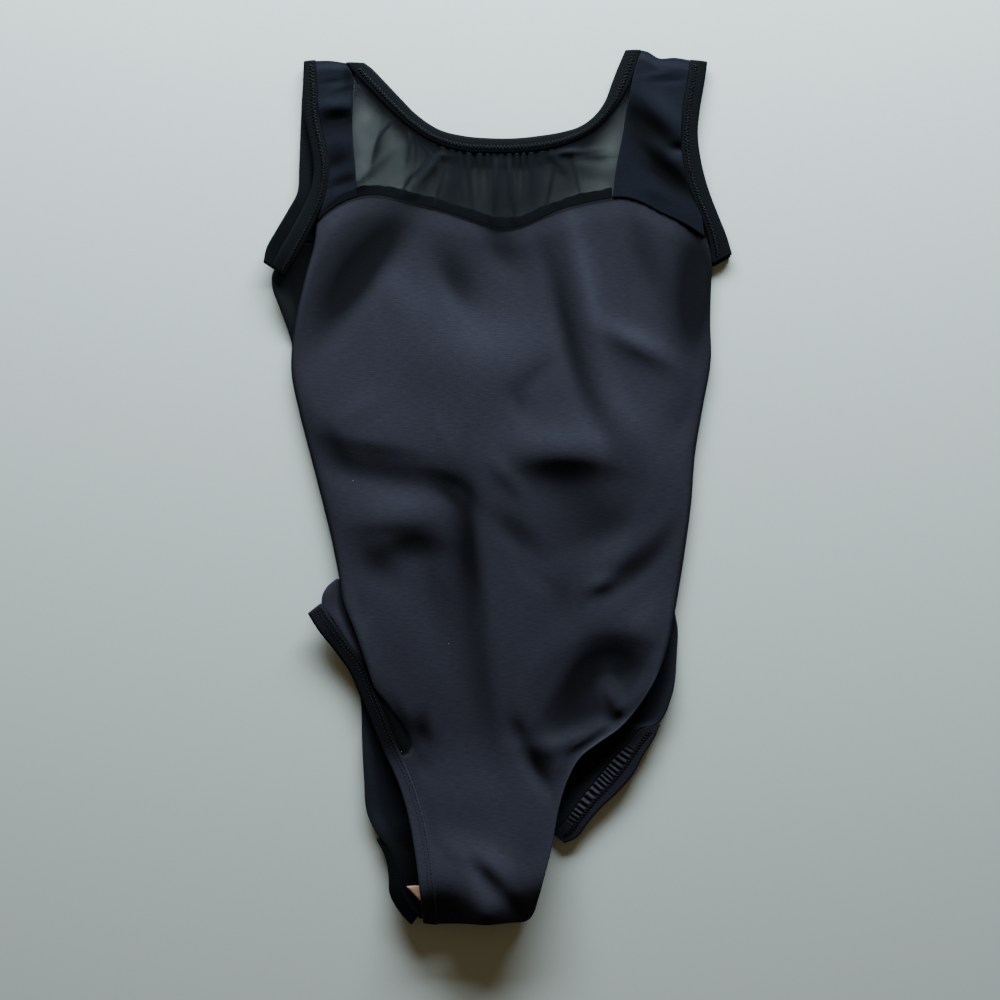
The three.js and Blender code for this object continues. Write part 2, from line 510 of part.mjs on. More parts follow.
// A smooth line through a table's rows: at(t) gives every named column, with t running along the chord length
function line(rows, across = (row) => [row.x, row.y]) {
  const points = rows.map(across);
  const stops = [0];
  for (let i = 1; i < rows.length; i++) {
    stops.push(stops[i - 1] + Math.hypot(...points[i].map((p, k) => p - points[i - 1][k])));
  }
  const slope = (key, i) => {
    const rate = (j) => (rows[j + 1][key] - rows[j][key]) / (stops[j + 1] - stops[j]);
    if (i === 0) return rate(0);
    if (i === rows.length - 1) return rate(i - 1);
    const before = stops[i] - stops[i - 1];
    const after = stops[i + 1] - stops[i];
    return (rate(i - 1) * after + rate(i) * before) / (before + after);
  };
  return (t) => {
    const s = clamp(t, 0, 1) * stops[stops.length - 1];
    let i = 0;
    while (i < rows.length - 2 && s > stops[i + 1]) i++;
    const h = stops[i + 1] - stops[i];
    const f = (s - stops[i]) / h;
    const found = {};
    for (const key of Object.keys(rows[i])) {
      found[key] =
        (2 * f ** 3 - 3 * f ** 2 + 1) * rows[i][key] +
        (f ** 3 - 2 * f ** 2 + f) * h * slope(key, i) +
        (3 * f ** 2 - 2 * f ** 3) * rows[i + 1][key] +
        (f ** 3 - f ** 2) * h * slope(key, i + 1);
    }
    return found;
  };
}

// The part of a line between two shares of its length
const part = (track, from, to) => (t) => track(mix(from, to, t));

// A Coons patch: the point at (u, v) inside four edge lines, bottom and top running with u, left and right with v
function patch({ bottom, top, left, right }) {
  const corner = { a: bottom(0), b: bottom(1), c: top(0), d: top(1) };
  return (u, v) => {
    const at = (key) =>
      mix(bottom(u)[key], top(u)[key], v) +
      mix(left(v)[key], right(v)[key], u) -
      mix(mix(corner.a[key], corner.b[key], u), mix(corner.c[key], corner.d[key], u), v);
    return { x: at("x"), y: at("y") };
  };
}

// The sum of a table's folds at a place
function folds(table, x, y) {
  let height = 0;
  for (const fold of table) {
    const turn = (fold.turn * Math.PI) / 180;
    const along = (x - fold.x) * Math.cos(turn) + (y - fold.y) * Math.sin(turn);
    const across = -(x - fold.x) * Math.sin(turn) + (y - fold.y) * Math.cos(turn);
    const width = across > 0 ? fold.above : fold.below;
    height += fold.rise * Math.exp(-((along / fold.half) ** 2) - (across / width) ** 2);
  }
  return height;
}

// How far the crotch end is lifted off the floor, by the front's curl or the back's
const lifted = (bend, y) => bend.rise * smooth((bend.start - y) / (bend.start - bend.end));
// How far the front drops past the crest of the crotch fold
const overFold = (y) =>
  CROTCH_FOLD.slope * CROTCH_FOLD.knee * Math.log1p(Math.exp((CROTCH_FOLD.crest - y) / CROTCH_FOLD.knee));
const frontLift = (y) => lifted(CURL, y) - overFold(y);

// A closed wall of cloth: a grid of points thickened along its normals, or straight up where it lies on the floor
function wall(name, material, place, thickness, lies = false) {
  const [columns, rows] = GRID[name];
  const grid = [];
  for (let j = 0; j <= rows; j++) {
    for (let i = 0; i <= columns; i++) {
      const p = place(i / columns, j / rows);
      grid.push(new THREE.Vector3(p.x, p.y, p.z));
    }
  }
  const width = columns + 1;
  const at = (i, j) => grid[clamp(j, 0, rows) * width + clamp(i, 0, columns)];
  const outer = [];
  const inner = [];
  for (let j = 0; j <= rows; j++) {
    for (let i = 0; i <= columns; i++) {
      const along = at(i + 1, j).clone().sub(at(i - 1, j));
      const up = at(i, j + 1).clone().sub(at(i, j - 1));
      const normal = along.cross(up).normalize();
      if (normal.z < 0) normal.negate();
      if (lies) {
        outer.push(at(i, j).clone().setZ(at(i, j).z + thickness));
        inner.push(at(i, j).clone());
      } else {
        outer.push(at(i, j).clone().addScaledVector(normal, thickness / 2));
        inner.push(at(i, j).clone().addScaledVector(normal, -thickness / 2));
      }
    }
  }
  const count = grid.length;
  const faces = [];
  const quad = (a, b, c, d) => faces.push(a, b, c, a, c, d);
  for (let j = 0; j < rows; j++) {
    for (let i = 0; i < columns; i++) {
      const a = j * width + i;
      quad(a, a + 1, a + width + 1, a + width);
      quad(count + a, count + a + width, count + a + width + 1, count + a + 1);
    }
  }
  const rim = [];
  for (let i = 0; i < columns; i++) rim.push([i, i + 1]);
  for (let j = 0; j < rows; j++) rim.push([j * width + columns, (j + 1) * width + columns]);
  for (let i = columns; i > 0; i--) rim.push([rows * width + i, rows * width + i - 1]);
  for (let j = rows; j > 0; j--) rim.push([j * width, (j - 1) * width]);
  for (const [a, b] of rim) quad(a, count + a, count + b, b);
  // A grid whose columns run the other way comes out facing in, and is turned round
  const turned = new THREE.Vector3()
    .crossVectors(at(1, 0).clone().sub(at(0, 0)), at(0, 1).clone().sub(at(0, 0))).z < 0;
  if (turned) {
    for (let k = 0; k < faces.length; k += 3) [faces[k + 1], faces[k + 2]] = [faces[k + 2], faces[k + 1]];
  }
  const geometry = new THREE.BufferGeometry().setFromPoints([...outer, ...inner]);
  geometry.setIndex(faces);
  geometry.computeVertexNormals();
  const mesh = new THREE.Mesh(geometry, material);
  mesh.name = name;
  return mesh;
}

// A band or hem: its cross-sections follow a table, and wave(t, s) may ripple it. inset and clear narrow it at its
// outer and its inner edge, and a band that lies on the floor keeps its underside there.
function band(name, material, table, options = {}) {
  const { inset = 0, clear = 0, lift = () => 0, wave = () => 0, thickness = BAND, lies = false } = options;
  const track = line(table, (row) => [row.ox, row.oy]);
  const place = (s, t) => {
    const row = track(t);
    const length = Math.hypot(row.ix - row.ox, row.iy - row.oy);
    const share = mix(inset / length, 1 - clear / length, s);
    const x = mix(row.ox, row.ix, share);
    const y = mix(row.oy, row.iy, share);
    const height = lies ? Math.max(0, mix(row.outer, row.inner, s) - thickness / 2) : mix(row.outer, row.inner, s);
    return { x, y, z: height + lift(x, y) + wave(t, s) };
  };
  return wall(name, material, place, thickness, lies);
}

const sweetheart = line(SWEETHEART);
const HALVINGS = 40;
// The share of the sweetheart seam's length at which it reaches x
function seamShare(x) {
  let low = 0;
  let high = 1;
  for (let k = 0; k < HALVINGS; k++) {
    const middle = (low + high) / 2;
    if (sweetheart(middle).x < x) low = middle;
    else high = middle;
  }
  return low;
}
const raised = (track, dy) => (t) => ({ x: track(t).x, y: track(t).y + dy });
const point = (row) => ({ x: row.x, y: row.y });
const straight = (a, b) => line([point(a), point(b)]);

// How much a sheet's middle surface differs from its crown near a side with its own rim height
const sideDrop = (rim, distance) => (CROWN - rim) * (1 - roll(distance / SIDE_ROLL));

function frontBody() {
  const left = line(BODY_LEFT);
  const right = line(BODY_RIGHT);
  const inside = patch({ bottom: straight(BODY_LEFT[0], BODY_RIGHT[0]), top: sweetheart, left, right });
  const place = (u, v) => {
    const { x, y } = inside(u, v);
    const a = left(v);
    const b = right(v);
    const width = Math.hypot(b.x - a.x, b.y - a.y);
    const fade = smooth((u * width) / FOLD_FADE) * smooth(((1 - u) * width) / FOLD_FADE);
    const crown = CROWN - sideDrop(a.rim, u * width) - sideDrop(b.rim, (1 - u) * width);
    const dip = SEAM_DIP.depth * smooth((v - SEAM_DIP.from) / (1 - SEAM_DIP.from));
    const z = above(crown + fade * folds(BODY_FOLDS, x, y) - dip, LOWEST_KNIT);
    return { x, y, z: z + frontLift(y) };
  };
  return wall("front_body", MATERIALS.knit, place, KNIT);
}

function frontShoulder(name, shoulder) {
  const inside = patch(shoulderEdges(shoulder));
  const place = (u, v) => {
    const { x, y } = inside(u, v);
    const z = above(mix(SHOULDER.seam, SHOULDER.crown, v) + folds(SHOULDER_FOLDS, x, y), SHOULDER.low);
    const tip = smooth((v - SHOULDER.tipFrom) / (1 - SHOULDER.tipFrom));
    return { x, y, z: mix(z, SHOULDER.tip, tip) };
  };
  return wall(name, MATERIALS.knit, place, KNIT);
}

// The seam's stretch under a piece, moved up to leave the seam's gap
const seamUnder = (from, to) => raised(part(sweetheart, seamShare(from), seamShare(to)), SEAM_STEP);

// A piece's edge that starts on the seam's stretch at a share of it and then follows a table
const edgeFrom = (track, share, rows) => line([point(track(share)), ...rows]);

function shoulderEdges({ from, to, arm, neck, tip }) {
  const bottom = seamUnder(from, to);
  const [outside, inside] = arm[0].x < neck[0].x ? [arm, neck] : [neck, arm];
  return { bottom, top: line(tip), left: edgeFrom(bottom, 0, outside), right: edgeFrom(bottom, 1, inside) };
}

// The neck band's inner edge, moved in by the seam's gap
const neckInner = line(
  NECK_BAND.slice(1, -1).map((row) => {
    const share = NECK_STEP / Math.hypot(row.ix - row.ox, row.iy - row.oy);
    return { x: row.ix + (row.ix - row.ox) * share, y: row.iy + (row.iy - row.oy) * share };
  }),
);

function yokeEdges() {
  const bottom = seamUnder(YOKE_SPAN.from, YOKE_SPAN.to);
  const top = part(neckInner, YOKE_SPAN.neckFrom, YOKE_SPAN.neckTo);
  return {
    bottom,
    top,
    left: edgeFrom(bottom, 0, [...YOKE_LEFT, point(top(0))]),
    right: edgeFrom(bottom, 1, [...YOKE_RIGHT, point(top(1))]),
  };
}

// The gathers' wave at a place: strongest in the middle of their stretch and next to the neck band
function gathers(x, v) {
  const { first, last, count, depth, reach, ends } = NECK_GATHERS;
  const share = (x - first) / (last - first);
  const middle = smooth(share / ends) * smooth((1 - share) / ends);
  return depth * middle * smooth((v - 1 + reach) / reach) * Math.sin(2 * Math.PI * count * share);
}

function frontYoke() {
  const inside = patch(yokeEdges());
  const place = (u, v) => {
    const { x, y } = inside(u, v);
    const fade = smooth(v / YOKE.seamFade) * smooth((1 - v) / YOKE.neckFade);
    const z = mix(YOKE.seam, YOKE.neck, v) + fade * folds(YOKE_FOLDS, x, y) + gathers(x, v);
    return { x, y, z: above(z, LOWEST_NET) };
  };
  return wall("front_yoke", MATERIALS.net, place, NET);
}

// The body's seam allowance, pressed up behind the net
function seamTape() {
  const seam = part(sweetheart, seamShare(SEAM_TAPE.from), seamShare(SEAM_TAPE.to));
  const place = (u, v) => {
    const { x, y } = seam(u);
    return { x, y: y + SEAM_TAPE.off + SEAM_TAPE.height * v, z: SEAM_TAPE.z - SEAM_TAPE.slope * v };
  };
  return wall("yoke_seam_allowance", MATERIALS.knit, place, LINING);
}

function backBody() {
  const left = line(BACK_LEFT);
  const right = line(BACK_RIGHT);
  const bottom = straight(BACK_LEFT[0], BACK_RIGHT[0]);
  const inside = patch({ bottom, top: straight(BACK_LEFT.at(-1), BACK_RIGHT.at(-1)), left, right });
  const sideLift = (lift, distance) => Math.max(0, lift) * (1 - smooth(distance / BACK_ROLL));
  const place = (u, v) => {
    const share = mix(u, smooth(u), BACK_CROWDING);
    const { x, y } = inside(share, v);
    const a = left(v);
    const b = right(v);
    const width = Math.hypot(b.x - a.x, b.y - a.y);
    return { x, y, z: sideLift(a.lift, share * width) + sideLift(b.lift, (1 - share) * width) + lifted(BACK_CURL, y) };
  };
  return wall("back_body", MATERIALS.knit, place, KNIT, true);
}

// A flat piece of the back above the body, from its straight seam up to an edge line
function backPiece(name, material, left, right, top, thickness) {
  const foot = (edge) => ({ x: edge[0].x - (edge[1].x - edge[0].x) * FOOT_SPREAD, y: BACK_SEAM });
  const inside = patch({
    bottom: straight(foot(left), foot(right)),
    top,
    left: line([foot(left), ...left, point(top(0))]),
    right: line([foot(right), ...right, point(top(1))]),
  });
  return wall(name, material, (u, v) => ({ ...inside(u, v), z: 0 }), thickness, true);
}

function backTop() {
  const neck = raised(yokeEdges().top, -BACK_DROP);
  const { knit, net } = MATERIALS;
  return [
    backPiece("back_shoulder_left", knit, BACK_ARM_LEFT, BACK_NECK_LEFT, line(BACK_TIP_LEFT), KNIT),
    backPiece("back_shoulder_right", knit, BACK_NECK_RIGHT, BACK_ARM_RIGHT, line(BACK_TIP_RIGHT), KNIT),
    backPiece("back_yoke", net, YOKE_LEFT, YOKE_RIGHT, neck, NET),
  ];
}

function hipFold() {
  const outer = line(HIP_FOLD_OUTER);
  const inner = line(HIP_FOLD_INNER);
  const place = (u, v) => {
    const a = outer(v);
    const b = inner(v);
    return { x: mix(a.x, b.x, u), y: mix(a.y, b.y, u), z: mix(a.z, b.z, smooth(u * HIP_SLOPE)) };
  };
  return wall("front_hip_fold", MATERIALS.knit, place, KNIT);
}

function gussetLining() {
  const { bottom, top, edgeLift, edgeShare } = GUSSET;
  const inside = patch({
    bottom: straight(...bottom),
    top: straight(...top),
    left: straight(bottom[0], top[0]),
    right: straight(bottom[1], top[1]),
  });
  const place = (u, v) => {
    const { x, y } = inside(u, v);
    return { x, y, z: lifted(BACK_CURL, y) + KNIT + SEAM + edgeLift * (1 - smooth(u / edgeShare)) };
  };
  return wall("gusset_lining", MATERIALS.lining, place, LINING, true);
}

// The puckers that the elastic draws in the right leg's hem, strongest along its inner part
function puckers(t, s) {
  const { count, depth, from, to, ends, inner } = LEG_GATHERS;
  const share = (t - from) / (to - from);
  const middle = smooth(share / ends) * smooth((1 - share) / ends);
  return depth * middle * smooth((s - inner) / (1 - inner)) * Math.sin(2 * Math.PI * count * share);
}

// A front band's table laid flat for the same band on the back, which the shoulder seams draw down
const laid = (table) =>
  table.map((row) => ({
    ...row,
    oy: row.oy - BACK_DROP,
    iy: row.iy - BACK_DROP,
    outer: BAND / 2,
    inner: BAND / 2,
  }));

const { elastic, knit } = MATERIALS;
const leotard = new THREE.Group();
leotard.add(
  frontBody(),
  frontYoke(),
  frontShoulder("front_shoulder_left", SHOULDER_LEFT),
  frontShoulder("front_shoulder_right", SHOULDER_RIGHT),
  seamTape(),
  hipFold(),
  backBody(),
  ...backTop(),
  gussetLining(),
  band("neck_binding_front", elastic, NECK_BAND),
  band("neck_binding_back", elastic, laid(NECK_BAND), { inset: 2 * SEAM, lies: true }),
  band("armhole_binding_right_front", elastic, ARM_BAND_RIGHT),
  band("armhole_binding_right_back", elastic, laid(ARM_BAND_RIGHT), { inset: 3 * SEAM, clear: SEAM, lies: true }),
  band("armhole_binding_left_front", elastic, ARM_BAND_LEFT),
  band("armhole_binding_left_back", elastic, ARM_BAND_LEFT_BACK, { clear: 2 * SEAM, lies: true }),
  band("leg_hem_left_front", knit, HEM_LEFT_FRONT, { lift: (x, y) => frontLift(y), clear: 3 * SEAM }),
  band("leg_hem_left_back", knit, HEM_LEFT_BACK, {
    lift: (x, y) => lifted(BACK_CURL, y),
    thickness: KNIT,
    clear: 3 * SEAM,
  }),
  band("leg_hem_right_back", elastic, HEM_RIGHT_BACK, { wave: puckers, thickness: KNIT, clear: 4 * SEAM }),
);

export default leotard;
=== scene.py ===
"""A sleeveless dance leotard of matt stretch knit with a sheer net yoke, laid flat with its front uppermost.

Sizes are in millimetres and are turned to metres where a mesh is made. +Z is up and +Y runs to the shoulders.
Left and right are as the picture shows them, seen from above the front.
"""
import logging
import math
from collections.abc import Callable, Sequence
from dataclasses import dataclass, field
from enum import Enum
from functools import cache

import bpy
import numpy as np
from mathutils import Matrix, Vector


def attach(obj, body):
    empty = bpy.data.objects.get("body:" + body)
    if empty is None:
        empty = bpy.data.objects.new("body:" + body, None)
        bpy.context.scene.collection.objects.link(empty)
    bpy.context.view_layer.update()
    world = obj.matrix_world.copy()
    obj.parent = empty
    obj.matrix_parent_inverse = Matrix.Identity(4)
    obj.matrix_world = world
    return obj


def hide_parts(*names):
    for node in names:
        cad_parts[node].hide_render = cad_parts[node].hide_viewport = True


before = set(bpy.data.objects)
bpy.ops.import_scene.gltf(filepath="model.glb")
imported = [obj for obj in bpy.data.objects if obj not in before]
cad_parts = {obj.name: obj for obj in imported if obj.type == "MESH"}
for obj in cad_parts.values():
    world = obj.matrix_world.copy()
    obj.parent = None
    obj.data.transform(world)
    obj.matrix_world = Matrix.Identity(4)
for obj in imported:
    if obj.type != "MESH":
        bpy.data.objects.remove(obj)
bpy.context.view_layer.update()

LOG = logging.getLogger("leotard")
MM = 0.001
BODY = "root"

Array = np.ndarray
Table = Sequence[tuple[float, ...]]
Line = Callable[[Array], Array]
Field = Callable[[Array, Array], Array]
Color = tuple[float, float, float]
Socket = bpy.types.NodeSocket
Node = bpy.types.Node
Group = bpy.types.NodeTree
Material = bpy.types.Material
Piece = bpy.types.Object

# The front body's edges, from crotch to chest: x, y and the rim's height
BODY_LEFT = (
    (-45.6, -329, 6), (-45.8, -317, 6), (-47.5, -296, 6.1), (-51.3, -270, 6.2), (-57.6, -242, 6.1),
    (-67.2, -215.5, 6), (-76.4, -196.5, 5.8), (-88.5, -166.8, 5.3), (-92.6, -155, 5.8), (-97.3, -141, 6.6),
    (-107.9, -110, 6.8), (-117, -86, 6.2), (-120.2, -68, 4), (-125.4, -42, 2.6), (-133.6, -8, 2.4), (-142.1, 25, 2.4),
    (-150.4, 57, 2.4), (-156.3, 88, 2.4), (-154.3, 117, 2.9), (-146.2, 156, 3.5), (-138.4, 187, 3.6),
    (-137.6, 199.5, 4.2),
)
BODY_RIGHT = (
    (19, -327.4, 5.6), (23.4, -325.2, 5.6), (26.6, -320.4, 5.6), (29.2, -312, 5.6), (33.4, -296, 5.8),
    (40.3, -269.5, 6.2), (45.4, -243, 6.8), (52.5, -221, 7.4), (62.5, -204, 8.2), (74.5, -194.5, 8.8),
    (91.5, -182.5, 9), (106.8, -165, 8.8), (120.8, -141, 8.2), (128.4, -119, 6.6), (132.6, -100, 4.4),
    (135.3, -86, 2.6), (141.4, -47.5, 2.4), (146, -13, 2.4), (149, 25, 2.4), (155, 61, 2.4), (161, 97, 2.4),
    (160.4, 125, 2.4), (161.2, 155, 2.6), (161.6, 172, 3), (158.1, 186.6, 3.6),
)
# The sweetheart seam, from the left armhole to the right one: x, y
SWEETHEART = (
    (-137.6, 199.5), (-127.7, 207.9), (-112.5, 216.2), (-91, 219.8), (-70.7, 215.8), (-44.1, 208.8), (-16, 199.9),
    (6, 195), (15.5, 196.2), (32.7, 203), (55.5, 211.3), (77.5, 216.2), (94.2, 218.1), (107.9, 214.5), (123.1, 206.6),
    (138.3, 199.5), (149.7, 192.9), (158.1, 186.6),
)
# Bands: outer x, y, inner x, y, and the middle surface's height at the outer and the inner edge
NECK_BAND = (
    (-101.8, 320.6, -114.8, 321, 3, 3), (-96.8, 316.9, -109.6, 314.3, 3.2, 3.2), (-87.4, 307.4, -98, 302.1, 3.4, 3.4),
    (-75.2, 294.5, -83.6, 287.2, 3.4, 3.4), (-61.6, 280.9, -66.9, 272.5, 3.4, 3.4),
    (-44.1, 269.6, -47.1, 260.1, 3.4, 3.4), (-25.8, 265, -26.6, 253.8, 3.4, 3.4),
    (-6.1, 263.3, -6.1, 252.6, 3.4, 3.4), (13.7, 263.3, 13.7, 252.8, 3.4, 3.4), (31.9, 265.2, 34.2, 254.9, 3.4, 3.4),
    (48.6, 268, 51.9, 259.4, 3.4, 3.4), (62.1, 272.2, 67.6, 266.6, 3.4, 3.4), (73.4, 280.3, 79.9, 276.6, 3.4, 3.4),
    (81, 290.3, 89.8, 288.6, 3.4, 3.4), (86.8, 305.1, 98.6, 303.4, 3.4, 3.4), (89.6, 312.6, 101.6, 310.4, 3.3, 3.3),
    (97, 330.2, 107.9, 330.5, 3, 3),
)
ARM_BAND_RIGHT = (
    (158.1, 321.6, 145.9, 322.9, 2.9, 3.2), (155.8, 305.9, 143.8, 306.7, 3.1, 4),
    (152.4, 286.1, 140.3, 286.1, 3.1, 4.2), (150.8, 267.9, 138.9, 265.6, 3.1, 4.2),
    (152.9, 248.9, 140.3, 245.5, 3.1, 4.2), (158.8, 225.6, 147.2, 220.5, 3.1, 4.2),
    (166.8, 204.4, 155.6, 201, 3.1, 4), (172.8, 189.4, 160.4, 185.8, 3, 3.6), (176.7, 176.2, 162.8, 168.6, 2.9, 3.2),
)
ARM_BAND_LEFT = (
    (-146.7, 321.9, -138.6, 322.6, 3, 3.2), (-147.2, 301.3, -137.2, 301.3, 3.2, 4),
    (-146.2, 280, -135.6, 278.5, 3.3, 4.2), (-141.8, 259.5, -130.9, 257.6, 3.6, 4.4),
    (-139.3, 240.5, -128.6, 238.5, 4, 4.6), (-140.9, 225.9, -131.3, 219.7, 4.6, 4.8),
    (-147.8, 208.9, -138.6, 201.4, 6, 5.4), (-157.3, 190.2, -147.4, 183.4, 8, 6.4),
    (-164.9, 176.5, -155.2, 169.6, 9, 7), (-169.5, 166.4, -162.2, 158.6, 8.6, 7),
)
ARM_BAND_LEFT_BACK = (
    (-146, 320.6, -134.8, 321.4, 0.9, 0.9), (-147.8, 301.3, -135.4, 301.3, 0.9, 0.9),
    (-149, 276.3, -137.6, 276.3, 1.2, 0.9), (-149.7, 255.7, -139.2, 255.7, 1.8, 0.9),
    (-150.2, 239.8, -140.4, 238.3, 2.4, 1.2), (-151.4, 222.7, -142.3, 217.6, 3.4, 1.8),
    (-158.6, 208.6, -150.2, 202.2, 4.4, 2.4), (-167.6, 192.8, -159.4, 186.6, 5.6, 3.2),
    (-174.8, 179, -166.4, 173.2, 6.4, 3.8), (-176.7, 169.6, -169.2, 164.8, 6.4, 4.2),
)
HEM_LEFT_FRONT = (
    (-142.9, -96.1, -133.8, -88.9, 8, 7.4), (-135.3, -108.3, -125.4, -101.9, 7.2, 6.6),
    (-123.1, -123.7, -114, -118.6, 6.2, 5.6), (-111.9, -139.7, -102.6, -134.2, 5.4, 4.8),
    (-104.3, -157.2, -94.6, -153.4, 5, 4.9), (-98.2, -171.6, -88.9, -167, 5, 5.3),
    (-86.8, -199.5, -76.8, -196.7, 5.2, 5.8), (-77, -219.3, -67.6, -215.7, 5.4, 6),
    (-68.6, -242.8, -58, -242, 5.6, 6.1), (-62.5, -270.9, -51.7, -270, 5.8, 6.2),
    (-58.7, -296, -47.9, -296, 5.8, 6.1), (-57, -314.3, -46.2, -317, 5.6, 6), (-55.6, -328.4, -46, -329.6, 5.4, 6),
)
HEM_LEFT_BACK = (
    (-91.6, -267.6, -89.6, -266.6, 2.2, 2.4), (-84.6, -281.6, -79.2, -279.2, 1.6, 2.6),
    (-82.3, -295, -73.2, -294, 1.2, 2.8), (-81.6, -307, -73, -302, 1, 3), (-74.6, -320.6, -67.6, -315, 1, 2.8),
    (-65.6, -330.6, -60.2, -323.5, 1.6, 1.8),
)
HEM_RIGHT_BACK = (
    (122.2, -180.4, 119.6, -179, 4.2, 4), (117.6, -190.6, 107.8, -184.6, 4.4, 3.6), (109.8, -203, 98, -196, 4.4, 3.2),
    (102.4, -217, 88, -206.4, 4.4, 3), (90.4, -231.2, 77.6, -219.4, 4.2, 2.8), (78.3, -242.6, 66.2, -233.2, 4, 2.6),
    (67.6, -254.8, 56.2, -247.2, 3.6, 2.4), (59, -266, 47.2, -258.2, 3, 2), (50.6, -270, 42, -262.8, 2.4, 1.6),
)
# The back body's edges, from crotch to chest: x, y and the edge's lift off the floor
BACK_LEFT = (
    (-58.8, -326.2, 0.6), (-67.1, -314.6, 1.2), (-72.6, -301.8, 1.4), (-72.8, -293.8, 1.4), (-78.8, -278.8, 1.8),
    (-89.2, -266.2, 2.2), (-98, -250, 2.8), (-101.1, -221, 3), (-102.6, -192, 2.6), (-103.8, -162, 0.8),
    (-110.4, -132, 0), (-114.6, -100, 0), (-119.4, -67, 0), (-124.7, -41.4, 0), (-133, -7.2, 0), (-141.4, 24.7, 0),
    (-149.6, 56, 0), (-155.6, 88, 0), (-156.8, 111.3, 0.6), (-160.6, 123.5, 2.2), (-165.2, 136, 3.6),
    (-170.4, 150.9, 4.4), (-170.8, 158.8, 4.2), (-164.8, 172.2, 3), (-158.6, 184.6, 2.2),
)
BACK_RIGHT = (
    (17.6, -325.4, 0), (25.6, -317.4, 0), (31.6, -296, 0), (37.4, -274, 0.4), (42.2, -262.2, 0.8),
    (46.9, -257.6, 1.2), (55.8, -246.8, 1.6), (65.8, -232.8, 1.8), (77.2, -219, 2), (87.6, -206, 2.2),
    (97.6, -195.6, 2.4), (107.4, -184.2, 2.8), (121.6, -178.8, 3.6), (130.4, -161, 4), (135.3, -123.5, 2),
    (136, -108.3, 0.8), (133.6, -92, 0), (134.6, -82, 0), (140.6, -47.5, 0), (145.2, -13, 0), (148.2, 25, 0),
    (154.2, 61, 0), (160.2, 97, 0), (159.6, 125, 0), (160.6, 150, 0), (162, 167.4, 0), (159.4, 184.6, 0),
)
# The hip fold's edges: x, y, z
HIP_FOLD_OUTER = (
    (-94.2, -152.6, 3.4), (-102.2, -133.7, 4.3), (-113.6, -118.1, 5.3), (-124.6, -101.2, 6.3), (-132.9, -88.4, 6.9),
    (-132.4, -82.4, 6.2), (-129.4, -76.6, 4.6), (-122.4, -70.4, 2.7),
)
HIP_FOLD_INNER = (
    (-87, -152, 2.6), (-90, -139, 2.6), (-95.4, -125, 2.6), (-100.6, -110, 2.6), (-105.6, -96, 2.6), (-108, -87, 2.6),
    (-110, -78, 2.6), (-111, -70.4, 2.6),
)
# Folds: middle x, y, direction in degrees, half length, width above and below, rise, and how far a bent one's ends rise
BODY_FOLDS = (
    # top left: the slope of a diagonal trough, and the ridge above it
    (-104, 158, 51, 58, 19, 15, -3), (-124, 190, 51, 44, 12, 16, 1.6), (-52, 122, -47, 46, 24, 36, 1.7),
    (-128, 84, 78, 34, 14, 14, 0.6),
    # soft dents under the seam and the broad swell below them
    (-32, 152, -62, 24, 13, 10, -1.9), (2, 178, -58, 20, 11, 9, -1.8), (-2, 100, 6, 44, 26, 32, 1),
    (24, 80, 40, 20, 8, 8, -0.9), (16, 62, -60, 14, 8, 8, -0.9),
    # the two long creases of the right chest
    (62, 152, -77, 60, 7, 9, 2.5), (54, 112, -77, 52, 7, 8, -2.6), (71, 62, -72, 34, 8, 8, -2),
    (106, 106, -28, 28, 11, 8, 2), (112, 168, -72, 34, 10, 10, -0.9), (149, 148, 86, 52, 14, 12, -2.8),
    (92, 50, -60, 34, 13, 13, 1.5), (140, 50, 60, 24, 12, 12, -1),
    # the sharp crescent fold at the waist, and the trough that runs on from it
    (48, 26, -1, 44, 22, 11, 2.2, -4), (50, 0, -2, 32, 16, 18, -1.7, 7), (72, -34, 24, 42, 34, 14, -1.6),
    (8, 6, -48, 16, 7, 7, 1.4),
    # the left waist folds
    (-94, 36, -10, 46, 34, 10, 1.9), (-92, 8, -12, 44, 12, 11, -1.8), (-78, -26, 2, 32, 13, 9, 1.5),
    (-64, -46, 4, 22, 10, 14, -1.2, -5), (-92, -60, -50, 20, 12, 12, -1.6),
    # the long trough down the belly, bent at its top
    (-34, -3, -34, 26, 9, 9, -2.4, -5), (-21, -62, -85, 62, 8, 14, -3), (-11, -160, -82, 62, 9, 14, -2),
    (-44, -90, -84, 50, 14, 12, -0.8), (14, -38, -44, 22, 9, 8, -1.7), (-72, -110, -66, 44, 16, 16, 0.9),
    # right belly: a diagonal crease that ends sharply
    (92, -56, 43, 26, 12, 10, 2), (112, -58, 45, 34, 9, 8, -1.4, 4), (78, -74, 20, 12, 7, 6, 1.4),
    (52, -96, -70, 28, 12, 12, -0.8),
    # the bowl at the right leg, its ridge, pinch and edge
    (80, -106, 8, 40, 24, 13, 1.7, -16), (74, -136, 34, 40, 15, 18, -1.8, -14), (102, -136, -30, 20, 13, 16, -1),
    (87, -160, -64, 20, 7, 6, 3, 3), (60, -192, 20, 30, 8, 8, 2.2, 4), (92, -180, -30, 12, 6, 6, -1.6),
    # pelvis
    (29, -212, -60, 22, 7, 7, -3.2), (44, -206, -62, 22, 8, 8, 1.6), (15, -186, -66, 12, 7, 7, -1.4),
    (-70, -188, -62, 26, 7, 7, -2.4), (-58, -190, -72, 14, 7, 7, -2), (-28, -236, 4, 46, 22, 20, 0.9),
    # crotch
    (-18, -280, -30, 30, 12, 9, 1.6), (-6, -297, -50, 22, 7, 7, -3.2),
)
